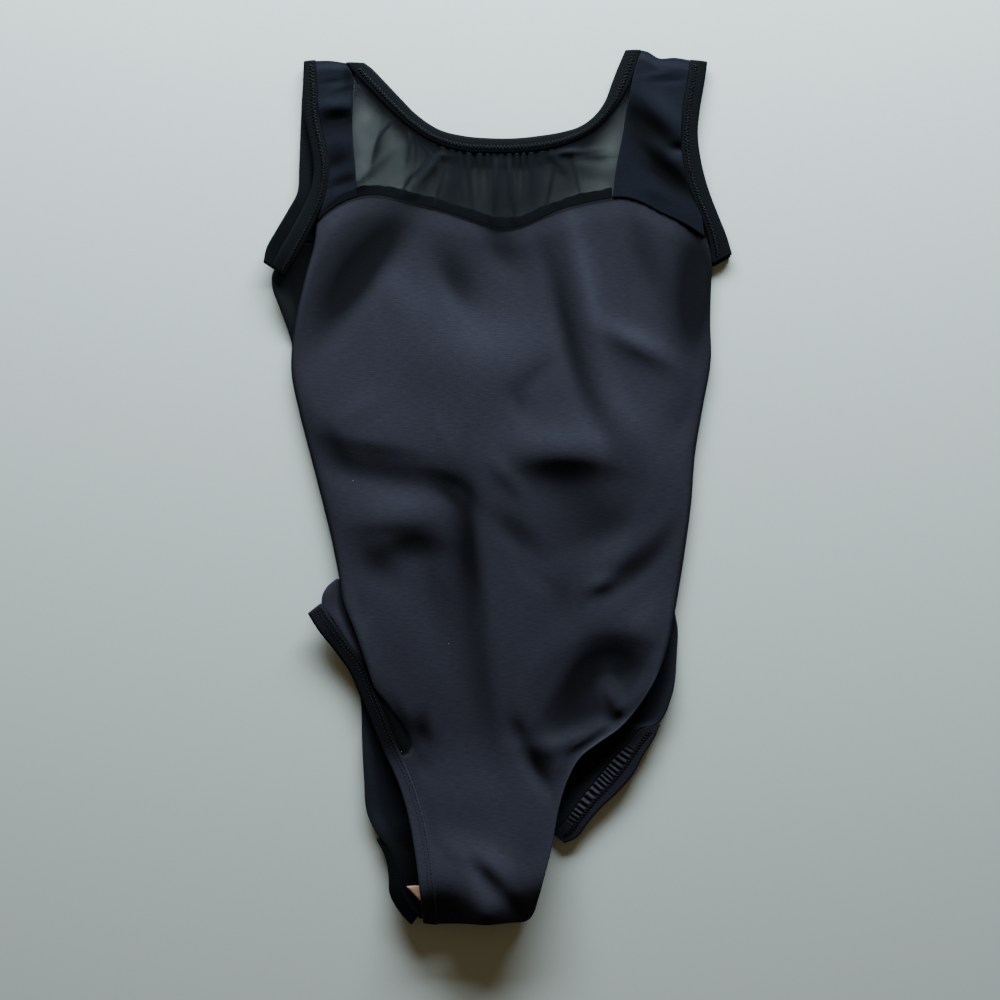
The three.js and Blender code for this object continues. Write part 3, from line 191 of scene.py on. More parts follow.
SHOULDER_FOLDS = (
    (122, 282, -46, 26, 13, 6, 1.9), (115, 270, -41, 26, 6, 12, -1.5), (127, 252, -42, 22, 8, 6, 1.6),
    (130, 234, -42, 25, 6, 9, -2), (137, 256.5, 0, 8, 3.5, 3.5, -1.5), (-123, 288, 4, 15, 7, 4.5, 1.3),
    (-121, 279, 6, 14, 4, 6, -1.6), (-124, 246, 60, 11, 7, 7, -1.2), (-118, 229, 20, 12, 4, 4, -0.9),
)
YOKE_FOLDS = (
    (-105, 301, 10, 8, 3, 3, 0.9), (-88, 262, 70, 20, 3.5, 3.5, 1.5), (-67.6, 255, 88, 14, 3, 3, 1),
    (-98.8, 234.5, 38, 22, 4, 4, 1.1), (-53, 238.5, 50, 21, 3.5, 3.5, 1.6), (-2.3, 228, 84, 24, 3.5, 3.5, 1.3),
    (10.4, 224, 97, 22, 3.2, 3.2, 1.1), (48, 243, -50, 16, 3.5, 3.5, 0.9), (60, 252.5, -4, 24, 4, 3, 1.4),
)

# The front's knit shoulders: where they stand on the seam, then their sides from there up and the line at the tip
SHOULDER_LEFT_SPAN = (-136.4, -107.4)
SHOULDER_LEFT_ARM = (
    (-130.8, 220.0), (-128.0, 238.6), (-130.3, 257.8), (-135.0, 278.6), (-136.6, 301.3), (-138.0, 322.3))
SHOULDER_LEFT_NECK = (
    (-108.8, 240.5), (-111.0, 266.0), (-111.0, 294.0), (-110.8, 311.8), (-115.5, 320.6))
SHOULDER_LEFT_TIP = ((-138.0, 322.3), (-127.0, 322.3), (-115.5, 320.6))
SHOULDER_RIGHT_SPAN = (87.0, 155.6)
SHOULDER_RIGHT_ARM = (
    (154.0, 202.4), (146.3, 220.5), (139.5, 245.6), (138.1, 265.6), (139.5, 286.1), (143.0, 306.7), (145.2, 322.9))
SHOULDER_RIGHT_NECK = ((90.6, 244.3), (94.6, 264.0), (99.2, 291.0), (102.6, 310.2), (108.8, 330.4))
SHOULDER_RIGHT_TIP = ((108.8, 330.4), (113.0, 329.3), (121.6, 324.4), (134.0, 324.6), (145.2, 322.9))

# The net yoke: its stretch of the seam, its share of the neck band, and its sides
YOKE_SPAN = (-106.6, 86.2)
YOKE_NECK = (0.012, 0.985)
YOKE_LEFT = tuple((x + 0.7, y) for x, y in SHOULDER_LEFT_NECK[:3])
YOKE_RIGHT = tuple((x - 0.8, y) for x, y in SHOULDER_RIGHT_NECK[:3])

# The back's top, from a straight seam up
BACK_SEAM = 185.2
BACK_ARM_LEFT = (
    (-146.0, 199.0), (-141.8, 217.8), (-139.8, 238.5), (-138.6, 255.7), (-137.0, 276.3), (-134.8, 301.3))
BACK_ARM_RIGHT = (
    (152.4, 202.0), (144.8, 220.0), (138.2, 245.5), (136.8, 265.6), (138.2, 286.1), (141.6, 306.7))
BACK_NECK_LEFT = (*SHOULDER_LEFT_NECK[:3], (-111.6, 311.0))
BACK_NECK_RIGHT = (*SHOULDER_RIGHT_NECK[:3], (103.6, 309.2))
BACK_TIP_LEFT = ((-134.2, 320.6), (-125.0, 320.6), (-116.6, 318.8))
BACK_TIP_RIGHT = ((109.8, 328.2), (113.4, 327.4), (121.6, 322.9), (134.0, 323.1), (143.6, 321.4))

# Where the crest of the crotch fold runs lower (rise over 0) or higher, in the same columns
CREST_WAVES = (
    (-8, -312, 0, 12, 34, 30, 11), (-42, -306, 0, 22, 34, 30, -7), (36, -300, 0, 26, 34, 30, -9),
)

# Broad swells under the folds, and small creases on top of them, in the same columns
BODY_SWELLS = (
    (0, 130, 0, 170, 120, 80, -1.8), (10, -62, 0, 170, 44, 70, -1.2), (-60, 100, 20, 50, 40, 30, 0.8),
)
BODY_WRINKLES = (
    (-60, 120, 80, 60, 10, 10, 0.35), (20, 150, 92, 40, 9, 9, -0.3), (-20, 60, 70, 50, 9, 9, 0.3),
    (36, 168, -70, 22, 6, 6, -0.5), (96, 178, -80, 20, 7, 6, 0.5), (-86, 128, -80, 20, 8, 8, -0.5),
    (-104, 58, 30, 22, 8, 7, 0.4), (-40, 34, -62, 20, 7, 7, 0.5), (30, -70, -40, 22, 7, 7, -0.4),
    (-104, -100, 60, 20, 7, 7, -0.4), (34, -130, 62, 24, 8, 8, 0.5), (-40, -150, -80, 30, 8, 8, 0.4),
    (110, -20, 66, 18, 7, 7, 0.5),
)

# Painted shade, or painted light where under 0, in the same columns, with the shade in place of the rise
BODY_PAINTED_SHADE = (
    # under the seam and down both sides of the chest
    (0, 200, 0, 240, 60, 52, 0.26), (-106, 160, 57, 58, 24, 13, 0.78), (-72, 148, -46, 28, 12, 12, -0.24),
    (152, 144, 86, 52, 24, 16, 0.8), (4, 182, 0, 34, 14, 16, 0.22), (-32, 158, -62, 24, 12, 12, 0.28),
    (68, 162, -78, 42, 9, 7, -0.42), (52, 126, -76, 46, 8, 8, 0.38), (110, 176, -70, 30, 12, 12, 0.22),
    (104, 113, -28, 28, 7, 6, -0.24), (102, 96, -30, 30, 8, 12, 0.24), (-12, 106, 6, 46, 22, 26, -0.4),
    (22, 74, 44, 20, 7, 8, 0.24), (104, 54, -30, 36, 14, 14, -0.18),
    # the crescent at the waist, and the trough that runs on from it
    (46, 35, -2, 38, 10, 8, -0.32), (50, 17.5, 1, 37, 3, 13, 0.92, -5), (78, -20, -36, 44, 18, 22, 0.34),
    # the left waist
    (-122, 32, -52, 22, 8, 10, 0.78), (-84, 13, -12, 30, 7, 9, 0.26), (-82, -12, -4, 32, 10, 8, -0.24),
    (-65, -41, 6, 24, 7, 13, 0.84, -4), (-94, -56, -50, 24, 12, 14, 0.32),
    # the long trough down the belly
    (-40, -6, -38, 22, 7, 8, 0.46, -4), (-20, -46, -84, 38, 5, 13, 0.5, 3), (-12, -150, -82, 58, 8, 15, 0.1),
    (-46, -72, -66, 32, 12, 12, 0.24), (14, -40, -44, 20, 7, 8, 0.22), (52, -84, 60, 40, 18, 18, 0.16),
    # right of the belly, and the bowl at the leg
    (112, -56, 44, 30, 6, 8, 0.36, 4), (50, -154, 57, 38, 8, 24, 0.66), (86, -127, 0, 26, 8, 20, 0.72, -8),
    (84, -150, 50, 26, 14, 14, 0.2), (70, -170, 16, 30, 12, 10, 0.3), (110, -163, 43, 22, 6, 8, 0.62),
    (84, -163, -62, 18, 5, 5, -0.5), (112, -94, 50, 28, 10, 10, -0.32),
    # the left hip and the pelvis
    (-98, -104, -70, 36, 14, 14, -0.16), (-84, -172, -58, 34, 7, 7, 0.95), (-55, -182, -70, 14, 6, 6, 0.5, 4),
    (-56, -206, 30, 12, 6, 7, 0.24), (30, -212, -60, 20, 6, 6, 0.3),
    # the crotch
    (-16, -281, -12, 34, 12, 14, -0.55), (20, -276, 60, 30, 12, 12, 0.22),
)

# Dark lines where the net creases, in the same columns, with the veil in place of the rise
NET_CREASES = (
    (-85.6, 270.5, 52, 12, 1, 1.1, 0.55, -1.5), (-92.7, 256, 76, 12, 1, 2.6, 0.42),
    (-66.9, 262.6, 92, 12, 0.9, 1, 0.48, 1.5), (-61.4, 260, 84, 11, 0.9, 1, 0.42), (-52.6, 254, 132, 7, 1, 1.1, 0.5),
    (-57, 243, 52, 13, 1, 2.4, 0.5, 2), (-69.6, 229, 62, 8, 1, 1.6, 0.44), (-102, 301, -14, 7, 1, 1.1, 0.4, 1),
    (-98, 236.5, 42, 20, 1.6, 3.2, 0.2), (-31, 252, 2, 18, 1.2, 1.6, 0.36), (-33, 232, 64, 14, 6, 6, 0.18),
    (-45, 224, 74, 12, 1.3, 1.4, 0.3), (-21, 228, 96, 16, 1.3, 1.4, 0.28), (-2.3, 230, 88, 24, 1.2, 1.4, 0.38),
    (9.9, 231, 97, 24, 1.2, 1.4, 0.38), (27, 232, 84, 16, 5, 5, 0.18), (40, 229, 78, 18, 1.3, 1.5, 0.32),
    (58, 238, 104, 14, 1.3, 1.5, 0.28), (56, 255, -3, 20, 1.2, 2.6, 0.36), (74, 249, 4, 14, 1.4, 4, 0.2),
)
SHOULDER_WRINKLES = (
    (-118, 302, 20, 9, 2.2, 2.2, 0.5), (-126, 306, 10, 9, 2, 2.4, -0.5), (122, 312, 12, 12, 2.2, 2.6, 0.5),
    (132, 307, 4, 10, 2.2, 2.4, -0.5),
)
# Painted shade on the shoulders, or painted light where under 0, in the same columns, with the shade in place of the
# rise
SHOULDER_PAINTED_SHADE = (
    (115, 275, -41, 26, 7, 13, 0.95), (129, 241, -39, 27, 6, 11, 0.92), (139, 257, 4, 8, 3, 3, 0.5),
    (137, 251, 20, 12, 2.5, 3.5, -0.4), (112, 250, -42, 12, 4, 4, -0.3), (130, 284, -48, 22, 6, 5, -0.3),
    (120, 219, -20, 12, 3, 4, 0.3), (102, 226, 10, 18, 7, 7, -0.2), (-123, 278, 3, 20, 3, 8, 0.95),
    (-124, 289, 4, 15, 5, 4, -0.3), (-120, 263, 8, 12, 4, 4, -0.3), (-120, 248, 24, 11, 5, 5, 0.6),
    (-115, 233, 12, 8, 4, 4, 0.45), (-113, 311, 90, 10, 5, 5, 0.7),
)
YOKE_WRINKLES = (
    (-60, 225, 60, 22, 2.5, 2.5, 0.5), (40, 228, 110, 18, 2.5, 2.5, 0.5),
)

# Walls of the cloth and its trims
KNIT = 1.2
NET = 0.9
BAND = 1.8
LINING = 1.0

# How far a stitch's line stands off the cloth
STITCH_LIFT = 0.05

# Heights of the front's middle surface above the floor, and how far in from an edge its roll and its folds reach
CROWN = 6.0
LOWEST = 2.2
SIDE_ROLL = 15.0
BACK_ROLL = 13.0
FOLD_FADE = 12.0

# Painted shade: the depth of a trough that counts as 1, the most painted shade that a fold reaches, the painted shade
# of a gathered hem's plain part, and the most that painted light lightens lit cloth
FOLD_SHADE_DEPTH = 5.5
FOLD_SHADE_MOST = 0.55
PLAIN_HEM_SHADE = 0.5
MOST_PAINTED_LIGHT = -0.6



def smooth(t: Array) -> Array:
    """An S-curve from 0 to 1."""
    t = np.clip(t, 0, 1)
    return t * t * (3 - 2 * t)


def roll(t: Array) -> Array:
    """A quarter of a circle: 0 at an edge, 1 where the roll ends."""
    return np.sqrt(1 - (1 - np.clip(t, 0, 1)) ** 2)


def mix(a: Array, b: Array, t: Array) -> Array:
    """A straight blend from a to b."""
    return a + (b - a) * t


def held_above(z: Array, lowest: float, knee: float = 0.5) -> Array:
    """Holds heights above a lowest one, with a soft knee."""
    return lowest + knee * np.logaddexp(0, (z - lowest) / knee)


def track(rows: Table) -> Line:
    """A smooth line through a table's rows, followed by the share of its length.

    Args:
        rows: the table; its first two columns are x and y.

    Returns:
        A function from shares (n,) to rows (n, columns).
    """
    table = np.array(rows, dtype=float)
    steps = np.hypot(*np.diff(table[:, :2], axis=0).T)
    stops = np.concatenate([[0.0], np.cumsum(steps)])
    rates = np.diff(table, axis=0) / steps[:, None]
    slopes = np.vstack([rates[:1], rates[-1:]]) if len(table) == 2 else np.vstack(
        [rates[:1], (rates[:-1] * steps[1:, None] + rates[1:] * steps[:-1, None])
         / (steps[1:] + steps[:-1])[:, None], rates[-1:]])

    def follow(t: Array) -> Array:
        """The table's row at each share of the line's length."""
        s = np.clip(t, 0, 1) * stops[-1]
        i = np.clip(np.searchsorted(stops, s, side="right") - 1, 0, len(steps) - 1)
        h = steps[i][:, None]
        f = ((s - stops[i]) / steps[i])[:, None]
        return ((2 * f ** 3 - 3 * f ** 2 + 1) * table[i] + (f ** 3 - 2 * f ** 2 + f) * h * slopes[i]
                + (3 * f ** 2 - 2 * f ** 3) * table[i + 1] + (f ** 3 - f ** 2) * h * slopes[i + 1])

    return follow


def unit(vectors: Array) -> Array:
    """The same vectors, each of length 1."""
    return vectors / np.maximum(np.linalg.norm(vectors, axis=-1, keepdims=True), 1e-9)


def with_height(place: Array, z: Array) -> Array:
    """A grid's plan places and heights as points."""
    return np.concatenate([place, z[..., None]], axis=2)


def margins(left: Array, right: Array, u: Array) -> tuple[Array, Array]:
    """How far each place of a sheet is from its left and from its right edge, from the edges' rows and the shares u."""
    width = np.hypot(*(right - left)[:, :2].T)[:, None]
    return u[None] * width, (1 - u)[None] * width


def part_of(line: Line, start: float, end: float) -> Line:
    """The stretch of a line between two shares of its length."""
    return lambda t: line(mix(start, end, np.asarray(t)))


def raised(line: Line, dy: float) -> Line:
    """The same line moved along +Y."""
    return lambda t: line(t)[:, :2] + (0.0, dy)


def straight(a: Sequence[float], b: Sequence[float]) -> Line:
    """A straight line between two points."""
    return lambda t: mix(np.array(a[:2], float), np.array(b[:2], float), np.asarray(t)[:, None])


def point(line: Line, t: float) -> Array:
    """One point of a line."""
    return line(np.array([t]))[0, :2]


def patch(bottom: Line, top: Line, left: Line, right: Line, u: Array, v: Array) -> Array:
    """A Coons patch inside four edge lines.

    Args:
        bottom, top: edges that run with u.
        left, right: edges that run with v.
        u, v: the grid's shares across and up.

    Returns:
        Points (rows, columns, 2).
    """
    b, t, l, r = (line(w)[:, :2] for line, w in ((bottom, u), (top, u), (left, v), (right, v)))
    uu, vv = u[None, :, None], v[:, None, None]
    sides = mix(b[None], t[None], vv) + mix(l[:, None], r[:, None], uu)
    return sides - mix(mix(b[0], b[-1], uu), mix(t[0], t[-1], uu), vv)


def trough_painted_shade(depth: Array) -> Array:
    """Painted shade in a trough: how deep the cloth lies in it, from 0 to FOLD_SHADE_MOST, for the light that reaches
    it less.
    """
    return np.clip(-depth / FOLD_SHADE_DEPTH, 0, FOLD_SHADE_MOST)


def shaded(tone: Array, edge: Array) -> Array:
    """A sheet's painted shade with the painted shade of its edges laid over it."""
    return tone + np.maximum(edge - np.maximum(tone, 0), 0)


def folds(table: Table, x: Array, y: Array) -> Array:
    """The sum of a table's folds at each place: a ridge where the rise is over 0, or a trough, bent if it has a bow."""
    height = np.zeros_like(x)
    for fx, fy, turn, half, above, below, rise, *bow in table:
        c, s = math.cos(math.radians(turn)), math.sin(math.radians(turn))
        along = (x - fx) * c + (y - fy) * s
        across = -(x - fx) * s + (y - fy) * c - sum(bow) * (along / half) ** 2
        width = np.where(across > 0, above, below)
        height += rise * np.exp(-((along / half) ** 2) - (across / width) ** 2)
    return height


@dataclass(frozen=True)
class CrotchCurl:
    """How the crotch end curls up off the floor and turns over in a round fold."""

    start: float = -185.0
    end: float = -335.0
    rise: float = 23.0
    bend: float = 1.7
    crest: float = -308.0
    slope: float = 0.62
    knee: float = 5.5
    back_start: float = -250.0
    back_end: float = -315.0
    back_rise: float = 6.0

    def front(self, x: Array, y: Array) -> Array:
        """The front's lift, less its drop past the crest, which is not quite level."""
        lift = self.rise * np.clip((self.start - y) / (self.start - self.end), 0, 1) ** self.bend
        for cx, cy, _, half, above, _, rise in CREST_WAVES:
            y = y + rise * np.exp(-(((x - cx) / half) ** 2) - ((y - cy) / above) ** 2)
        return lift - self.slope * self.knee * np.logaddexp(0, (self.crest - y) / self.knee)

    def back(self, x: Array, y: Array) -> Array:
        """The lift of the back and of the gusset's lining."""
        return self.back_rise * smooth((self.back_start - y) / (self.back_start - self.back_end))


CURL = CrotchCurl()


class Dress(Enum):
    """The finishes that the pieces take."""

    KNIT = "body_knit"
    NET = "net"
    BINDING = "binding"
    LINING = "gusset"


# ---------------------------------------------------------------- node helpers


@dataclass
class Tree:
    """A short way to add and wire nodes in a shader or geometry tree."""

    nodes: bpy.types.Nodes
    links: bpy.types.NodeLinks

    def feed(self, node: Node, values: dict) -> None:
        """Gives each named or numbered input of a node a value, or the socket that feeds it."""
        for key, value in values.items():
            if isinstance(value, Socket):
                self.links.new(value, node.inputs[key])
            else:
                node.inputs[key].default_value = value

    def add(self, kind: str, values: dict | None = None, **settings: object) -> Node:
        """Adds a node.

        Args:
            kind: the node's type name.
            values: its inputs, as feed takes them.
            settings: the node's own properties.

        Returns:
            The node.
        """
        node = self.nodes.new(kind)
        for key, value in settings.items():
            setattr(node, key, value)
        self.feed(node, values or {})
        return node

    def out(self, kind: str, values: dict | None = None, **settings: object) -> Socket:
        """Adds a node for its first output."""
        return self.add(kind, values, **settings).outputs[0]

    def math(self, operation: str, a: object, b: object = 0.0, c: object = 0.0) -> Socket:
        """One Math node's result."""
        return self.out("ShaderNodeMath", {0: a, 1: b, 2: c}, operation=operation)

    def mul(self, a: object, b: object, plus: object = 0.0) -> Socket:
        """a times b, plus a third value."""
        return self.math("MULTIPLY_ADD", a, b, plus)

    def centred(self, value: Socket, spread: object) -> Socket:
        """A factor round 1 from a value round a half."""
        return self.mul(self.math("SUBTRACT", value, 0.5), spread, 1.0)

    def vector(self, operation: str, a: object, b: object = (0.0, 0.0, 0.0)) -> Socket:
        """One Vector Math node's vector."""
        return self.out("ShaderNodeVectorMath", {0: a, 1: b}, operation=operation)

    def scaled(self, vector: object, by: Socket) -> Socket:
        """A vector or colour times a value."""
        return self.out("ShaderNodeVectorMath", {0: vector, "Scale": by}, operation="SCALE")

    def noise(self, place: Socket, scale: float, detail: float) -> Socket:
        """One Noise texture's value."""
        return self.out("ShaderNodeTexNoise", {"Vector": place, "Scale": scale, "Detail": detail})

    def bump(self, height: Socket, distance: float, strength: float) -> Socket:
        """The normal of a relief."""
        return self.out("ShaderNodeBump", {"Height": height, "Distance": distance, "Strength": strength})


def new_group(name: str, kind: str, inputs: dict, outputs: dict) -> tuple[Group, Tree, dict, Node]:
    """Starts a node group with named sockets.

    Args:
        name: the group's name.
        kind: ShaderNodeTree or GeometryNodeTree.
        inputs: socket name to (socket type, default or None).
        outputs: socket name to socket type.

    Returns:
        The group, its Tree helper, its input sockets by name, and its output node.
    """
    group = bpy.data.node_groups.new(name, kind)
    for label, (socket, default) in inputs.items():
        made = group.interface.new_socket(name=label, in_out="INPUT", socket_type=socket)
        if default is not None:
            made.default_value = default
    for label, socket in outputs.items():
        group.interface.new_socket(name=label, in_out="OUTPUT", socket_type=socket)
    tree = Tree(group.nodes, group.links)
    source, sink = tree.add("NodeGroupInput"), tree.add("NodeGroupOutput")
    return group, tree, {s.name: s for s in source.outputs if s.name}, sink


FLOAT, VECTOR, COLOR = "NodeSocketFloat", "NodeSocketVector", "NodeSocketColor"
GEOMETRY = "NodeSocketGeometry"


@cache
def knit_relief_group() -> Group:
    """Fine courses of knit: rows of small loops, uneven, under a soft nap.

    Returns:
        A shader group that puts out a height and a tone for the colour.
    """
    wander, wander_scale = 1.4, 90.0
    course_share, wale_share, loop_tone = 0.5, 0.2, 0.12
    fuzz_scale, fuzz_tone = 1700.0, 0.15
    slub_scale, slub_share, slub_tone = (150.0, 1000.0, 1.0), 0.5, 1.5
    group, tree, get, sink = new_group(
        "Knit relief", "ShaderNodeTree",
        {"Cloth": (VECTOR, None), "Course": (FLOAT, 0.0009), "Wale": (FLOAT, 0.0008), "Nap": (FLOAT, 0.4)},
        {"Height": FLOAT, "Tone": FLOAT})
    split = tree.add("ShaderNodeSeparateXYZ", {0: get["Cloth"]})
    row = tree.mul(tree.noise(get["Cloth"], wander_scale, 2.0), wander,
                   tree.math("DIVIDE", split.outputs[1], get["Course"]))
    stitch = tree.math("DIVIDE", split.outputs[0], get["Wale"])
    course, wale = (tree.math("SINE", tree.mul(turns, math.tau)) for turns in (row, stitch))
    loops = tree.mul(course, course_share, tree.mul(wale, wale_share))
    fuzz = tree.noise(get["Cloth"], fuzz_scale, 2.0)
    slub = tree.noise(tree.vector("MULTIPLY", get["Cloth"], slub_scale), 1.0, 1.0)
    tree.feed(sink, {
        "Height": tree.mul(slub, slub_share, tree.mul(fuzz, get["Nap"], loops)),
        "Tone": tree.mul(slub, slub_tone, tree.mul(fuzz, fuzz_tone, tree.mul(loops, loop_tone)))})
    return group


@cache
def dye_lint_and_shade_group() -> Group:
    """Broad unevenness of the dye, a few specks of pale lint, and painted shade from the Hollow input.

    Returns:
        A shader group that turns a plain colour into the cloth's colour, with painted shade laid on it.
    """
    dye_scale, tone_spread, painted_shade_strength = 9.0, 0.5, -0.88
    lint_scale, lint_from, lint_size, lint_color = 55.0, 0.93, 0.017, (0.35, 0.36, 0.37, 1)
    smoothest, rough_spread = 0.76, 0.12
    group, tree, get, sink = new_group(
        "Dye, lint and painted shade", "ShaderNodeTree",
        {"Cloth": (VECTOR, None), "Color": (COLOR, (0.03, 0.03, 0.04, 1)), "Tone": (FLOAT, 0.5),
         "Uneven": (FLOAT, 0.25), "Lint": (FLOAT, 0.5), "Hollow": (FLOAT, 0.0)},
        {"Color": COLOR, "Roughness": FLOAT})
    broad = tree.noise(get["Cloth"], dye_scale, 3.0)
    shade = tree.mul(tree.centred(broad, get["Uneven"]), tree.centred(get["Tone"], tone_spread))
    # painted shade: the colour darkens by up to 0.88 where the painted_shade attribute is 1, and lightens where it is
    # under 0
    shade = tree.mul(shade, tree.mul(get["Hollow"], painted_shade_strength, 1.0))
    cells = tree.add("ShaderNodeTexVoronoi", {"Vector": get["Cloth"], "Scale": lint_scale}, feature="F1")
    chosen = tree.math("GREATER_THAN", tree.out("ShaderNodeSeparateColor", {0: cells.outputs["Color"]}), lint_from)
    speck = tree.math("LESS_THAN", cells.outputs["Distance"], lint_size)
    lint = tree.mul(tree.mul(chosen, speck), get["Lint"])
    mixed = tree.add("ShaderNodeMix", {0: lint, 6: tree.scaled(get["Color"], shade), 7: lint_color}, data_type="RGBA")
    tree.feed(sink, {"Color": mixed.outputs[2], "Roughness": tree.mul(broad, rough_spread, smoothest)})
    return group


@cache
def net_mesh_group() -> Group:
    """A fine net of crossing yarns.

    Returns:
        A shader group that puts out how solid the net is at a place, and a height.
    """
    lean, rise = 0.58, 1.16
    hole_from, hole_to = 0.12, 0.55
    uneven_scale, uneven = 45.0, 0.16
    group, tree, get, sink = new_group(
        "Net yarns", "ShaderNodeTree",
        {"Cloth": (VECTOR, None), "Pitch": (FLOAT, 0.0011), "Open": (FLOAT, 0.3), "Solid": (FLOAT, 0.8),
         "Veil": (FLOAT, 0.0)},
        {"Alpha": FLOAT, "Height": FLOAT})
    split = tree.add("ShaderNodeSeparateXYZ", {0: get["Cloth"]})
    x, y, _ = split.outputs
    hole = 1.0
    for lines in (tree.mul(y, lean, x), tree.mul(y, -lean, x), tree.mul(y, rise)):
        wave = tree.math("SINE", tree.mul(tree.math("DIVIDE", lines, get["Pitch"]), math.pi))
        hole = tree.mul(tree.math("ABSOLUTE", wave), hole)
    yarn = tree.out("ShaderNodeMapRange", {0: hole, 1: hole_from, 2: hole_to, 3: 1.0, 4: 0.0})
    alpha = tree.out("ShaderNodeMix", {0: yarn, 2: get["Open"], 3: get["Solid"]}, data_type="FLOAT")
    patchy = tree.math("SUBTRACT", tree.noise(get["Cloth"], uneven_scale, 2.0), 0.5)
    alpha = tree.math("ADD", tree.mul(patchy, uneven, alpha), get["Veil"])
    tree.feed(sink, {"Alpha": tree.out("ShaderNodeClamp", {0: alpha}), "Height": yarn})
    return group


def start_material(name: str) -> tuple[Material, Tree, Node]:
    """A new material with only its output and a Principled shader.

    Returns:
        The material, its Tree helper and the shader node.
    """
    material = bpy.data.materials.new(name)
    material.use_nodes = True
    material.node_tree.nodes.clear()
    tree = Tree(material.node_tree.nodes, material.node_tree.links)
    shader = tree.add("ShaderNodeBsdfPrincipled")
    tree.add("ShaderNodeOutputMaterial", {0: shader.outputs[0]})
    return material, tree, shader


def dyed_and_shaded(tree: Tree, shader: Node, color: Color, **values: object) -> None:
    """Gives a shader the shared group's dye, lint and painted shade, with that group's other inputs by name."""
    dye = tree.add("ShaderNodeGroup", {"Color": (*color, 1), **values}, node_tree=dye_lint_and_shade_group())
    tree.feed(shader, {"Base Color": dye.outputs["Color"], "Roughness": dye.outputs["Roughness"]})


@dataclass(frozen=True)
class KnitFinish:
    """Matt stretch knit: cloth with a dye, fine courses, a nap and a soft sheen, and painted shade laid on its colour.
    """

    name: str
    color: Color
    course: float = 0.5
    wale: float = 0.45
    nap: float = 0.3
    relief: float = 0.00006
    uneven: float = 0.25
    lint: float = 0.5
    sheen: float = 0.012
    sheen_roughness: float = 0.45
    sheen_tint: Color = (0.55, 0.62, 0.8)
    specular: float = 0.06

    def material(self) -> Material:
        """Builds the material."""
        material, tree, shader = start_material(self.name)
        cloth = tree.out("ShaderNodeUVMap", uv_map="cloth")
        # the painted shade, and painted light where it is under 0, that each sheet carries as an attribute
        painted_shade = tree.add("ShaderNodeAttribute", attribute_name="painted_shade").outputs["Fac"]
        knit = tree.add("ShaderNodeGroup", {"Cloth": cloth, "Course": self.course * MM, "Wale": self.wale * MM,
                                            "Nap": self.nap}, node_tree=knit_relief_group())
        dyed_and_shaded(tree, shader, self.color, Cloth=cloth, Uneven=self.uneven, Lint=self.lint, Tone=knit.outputs["Tone"],
             Hollow=painted_shade)
        tree.feed(shader, {"Normal": tree.bump(knit.outputs["Height"], self.relief, 1.0), "Sheen Weight": self.sheen,
                           "Sheen Roughness": self.sheen_roughness, "Sheen Tint": (*self.sheen_tint, 1),
                           "Specular IOR Level": self.specular})
        return material


@dataclass(frozen=True)
class NetFinish:
    """Sheer net: dark yarns with light between them, closer where it is gathered."""

    name: str
    color: Color = (0.0045, 0.0055, 0.0075)
    pitch: float = 1.3
    open: float = 0.08
    solid: float = 0.38
    uneven: float = 0.3
    relief: float = 0.00005
    strength: float = 0.6
    sheen: float = 0.01
    specular: float = 0.06

    def material(self) -> Material:
        """Builds the material."""
        material, tree, shader = start_material(self.name)
        cloth = tree.out("ShaderNodeUVMap", uv_map="cloth")
        veil = tree.add("ShaderNodeAttribute", attribute_name="veil").outputs["Fac"]
        net = tree.add("ShaderNodeGroup", {"Cloth": cloth, "Veil": veil, "Pitch": self.pitch * MM, "Open": self.open,
                                           "Solid": self.solid}, node_tree=net_mesh_group())
        dyed_and_shaded(tree, shader, self.color, Cloth=cloth, Uneven=self.uneven, Lint=0.0)
        tree.feed(shader, {"Alpha": net.outputs["Alpha"],
                           "Normal": tree.bump(net.outputs["Height"], self.relief, self.strength),
                           "Sheen Weight": self.sheen, "Specular IOR Level": self.specular})
        return material


@dataclass(frozen=True)
class ThreadFinish:
    """Sewing thread, a little glossier than the cloth."""

    name: str
    color: Color
    twist_scale: float = 2600.0
    spread: float = 0.9
    darkest: float = 0.55
    relief: float = 0.00006
    strength: float = 0.8
    roughness: float = 0.55
    sheen: float = 0.03
    specular: float = 0.2

    def material(self) -> Material:
        """Builds the material."""
        material, tree, shader = start_material(self.name)
        twist = tree.noise(tree.add("ShaderNodeTexCoord").outputs["Object"], self.twist_scale, 1.0)
        tree.feed(shader, {"Base Color": tree.scaled(self.color, tree.mul(twist, self.spread, self.darkest)),
                           "Normal": tree.bump(twist, self.relief, self.strength), "Roughness": self.roughness,
                           "Sheen Weight": self.sheen, "Specular IOR Level": self.specular})
        return material


# ---------------------------------------------------------------- cloth sheets


def put(name: str, data: bpy.types.ID) -> Piece:
    """Puts a mesh, a lamp or a lens in the scene as an object."""
    made = bpy.data.objects.new(name, data)
    bpy.context.scene.collection.objects.link(made)
    return made


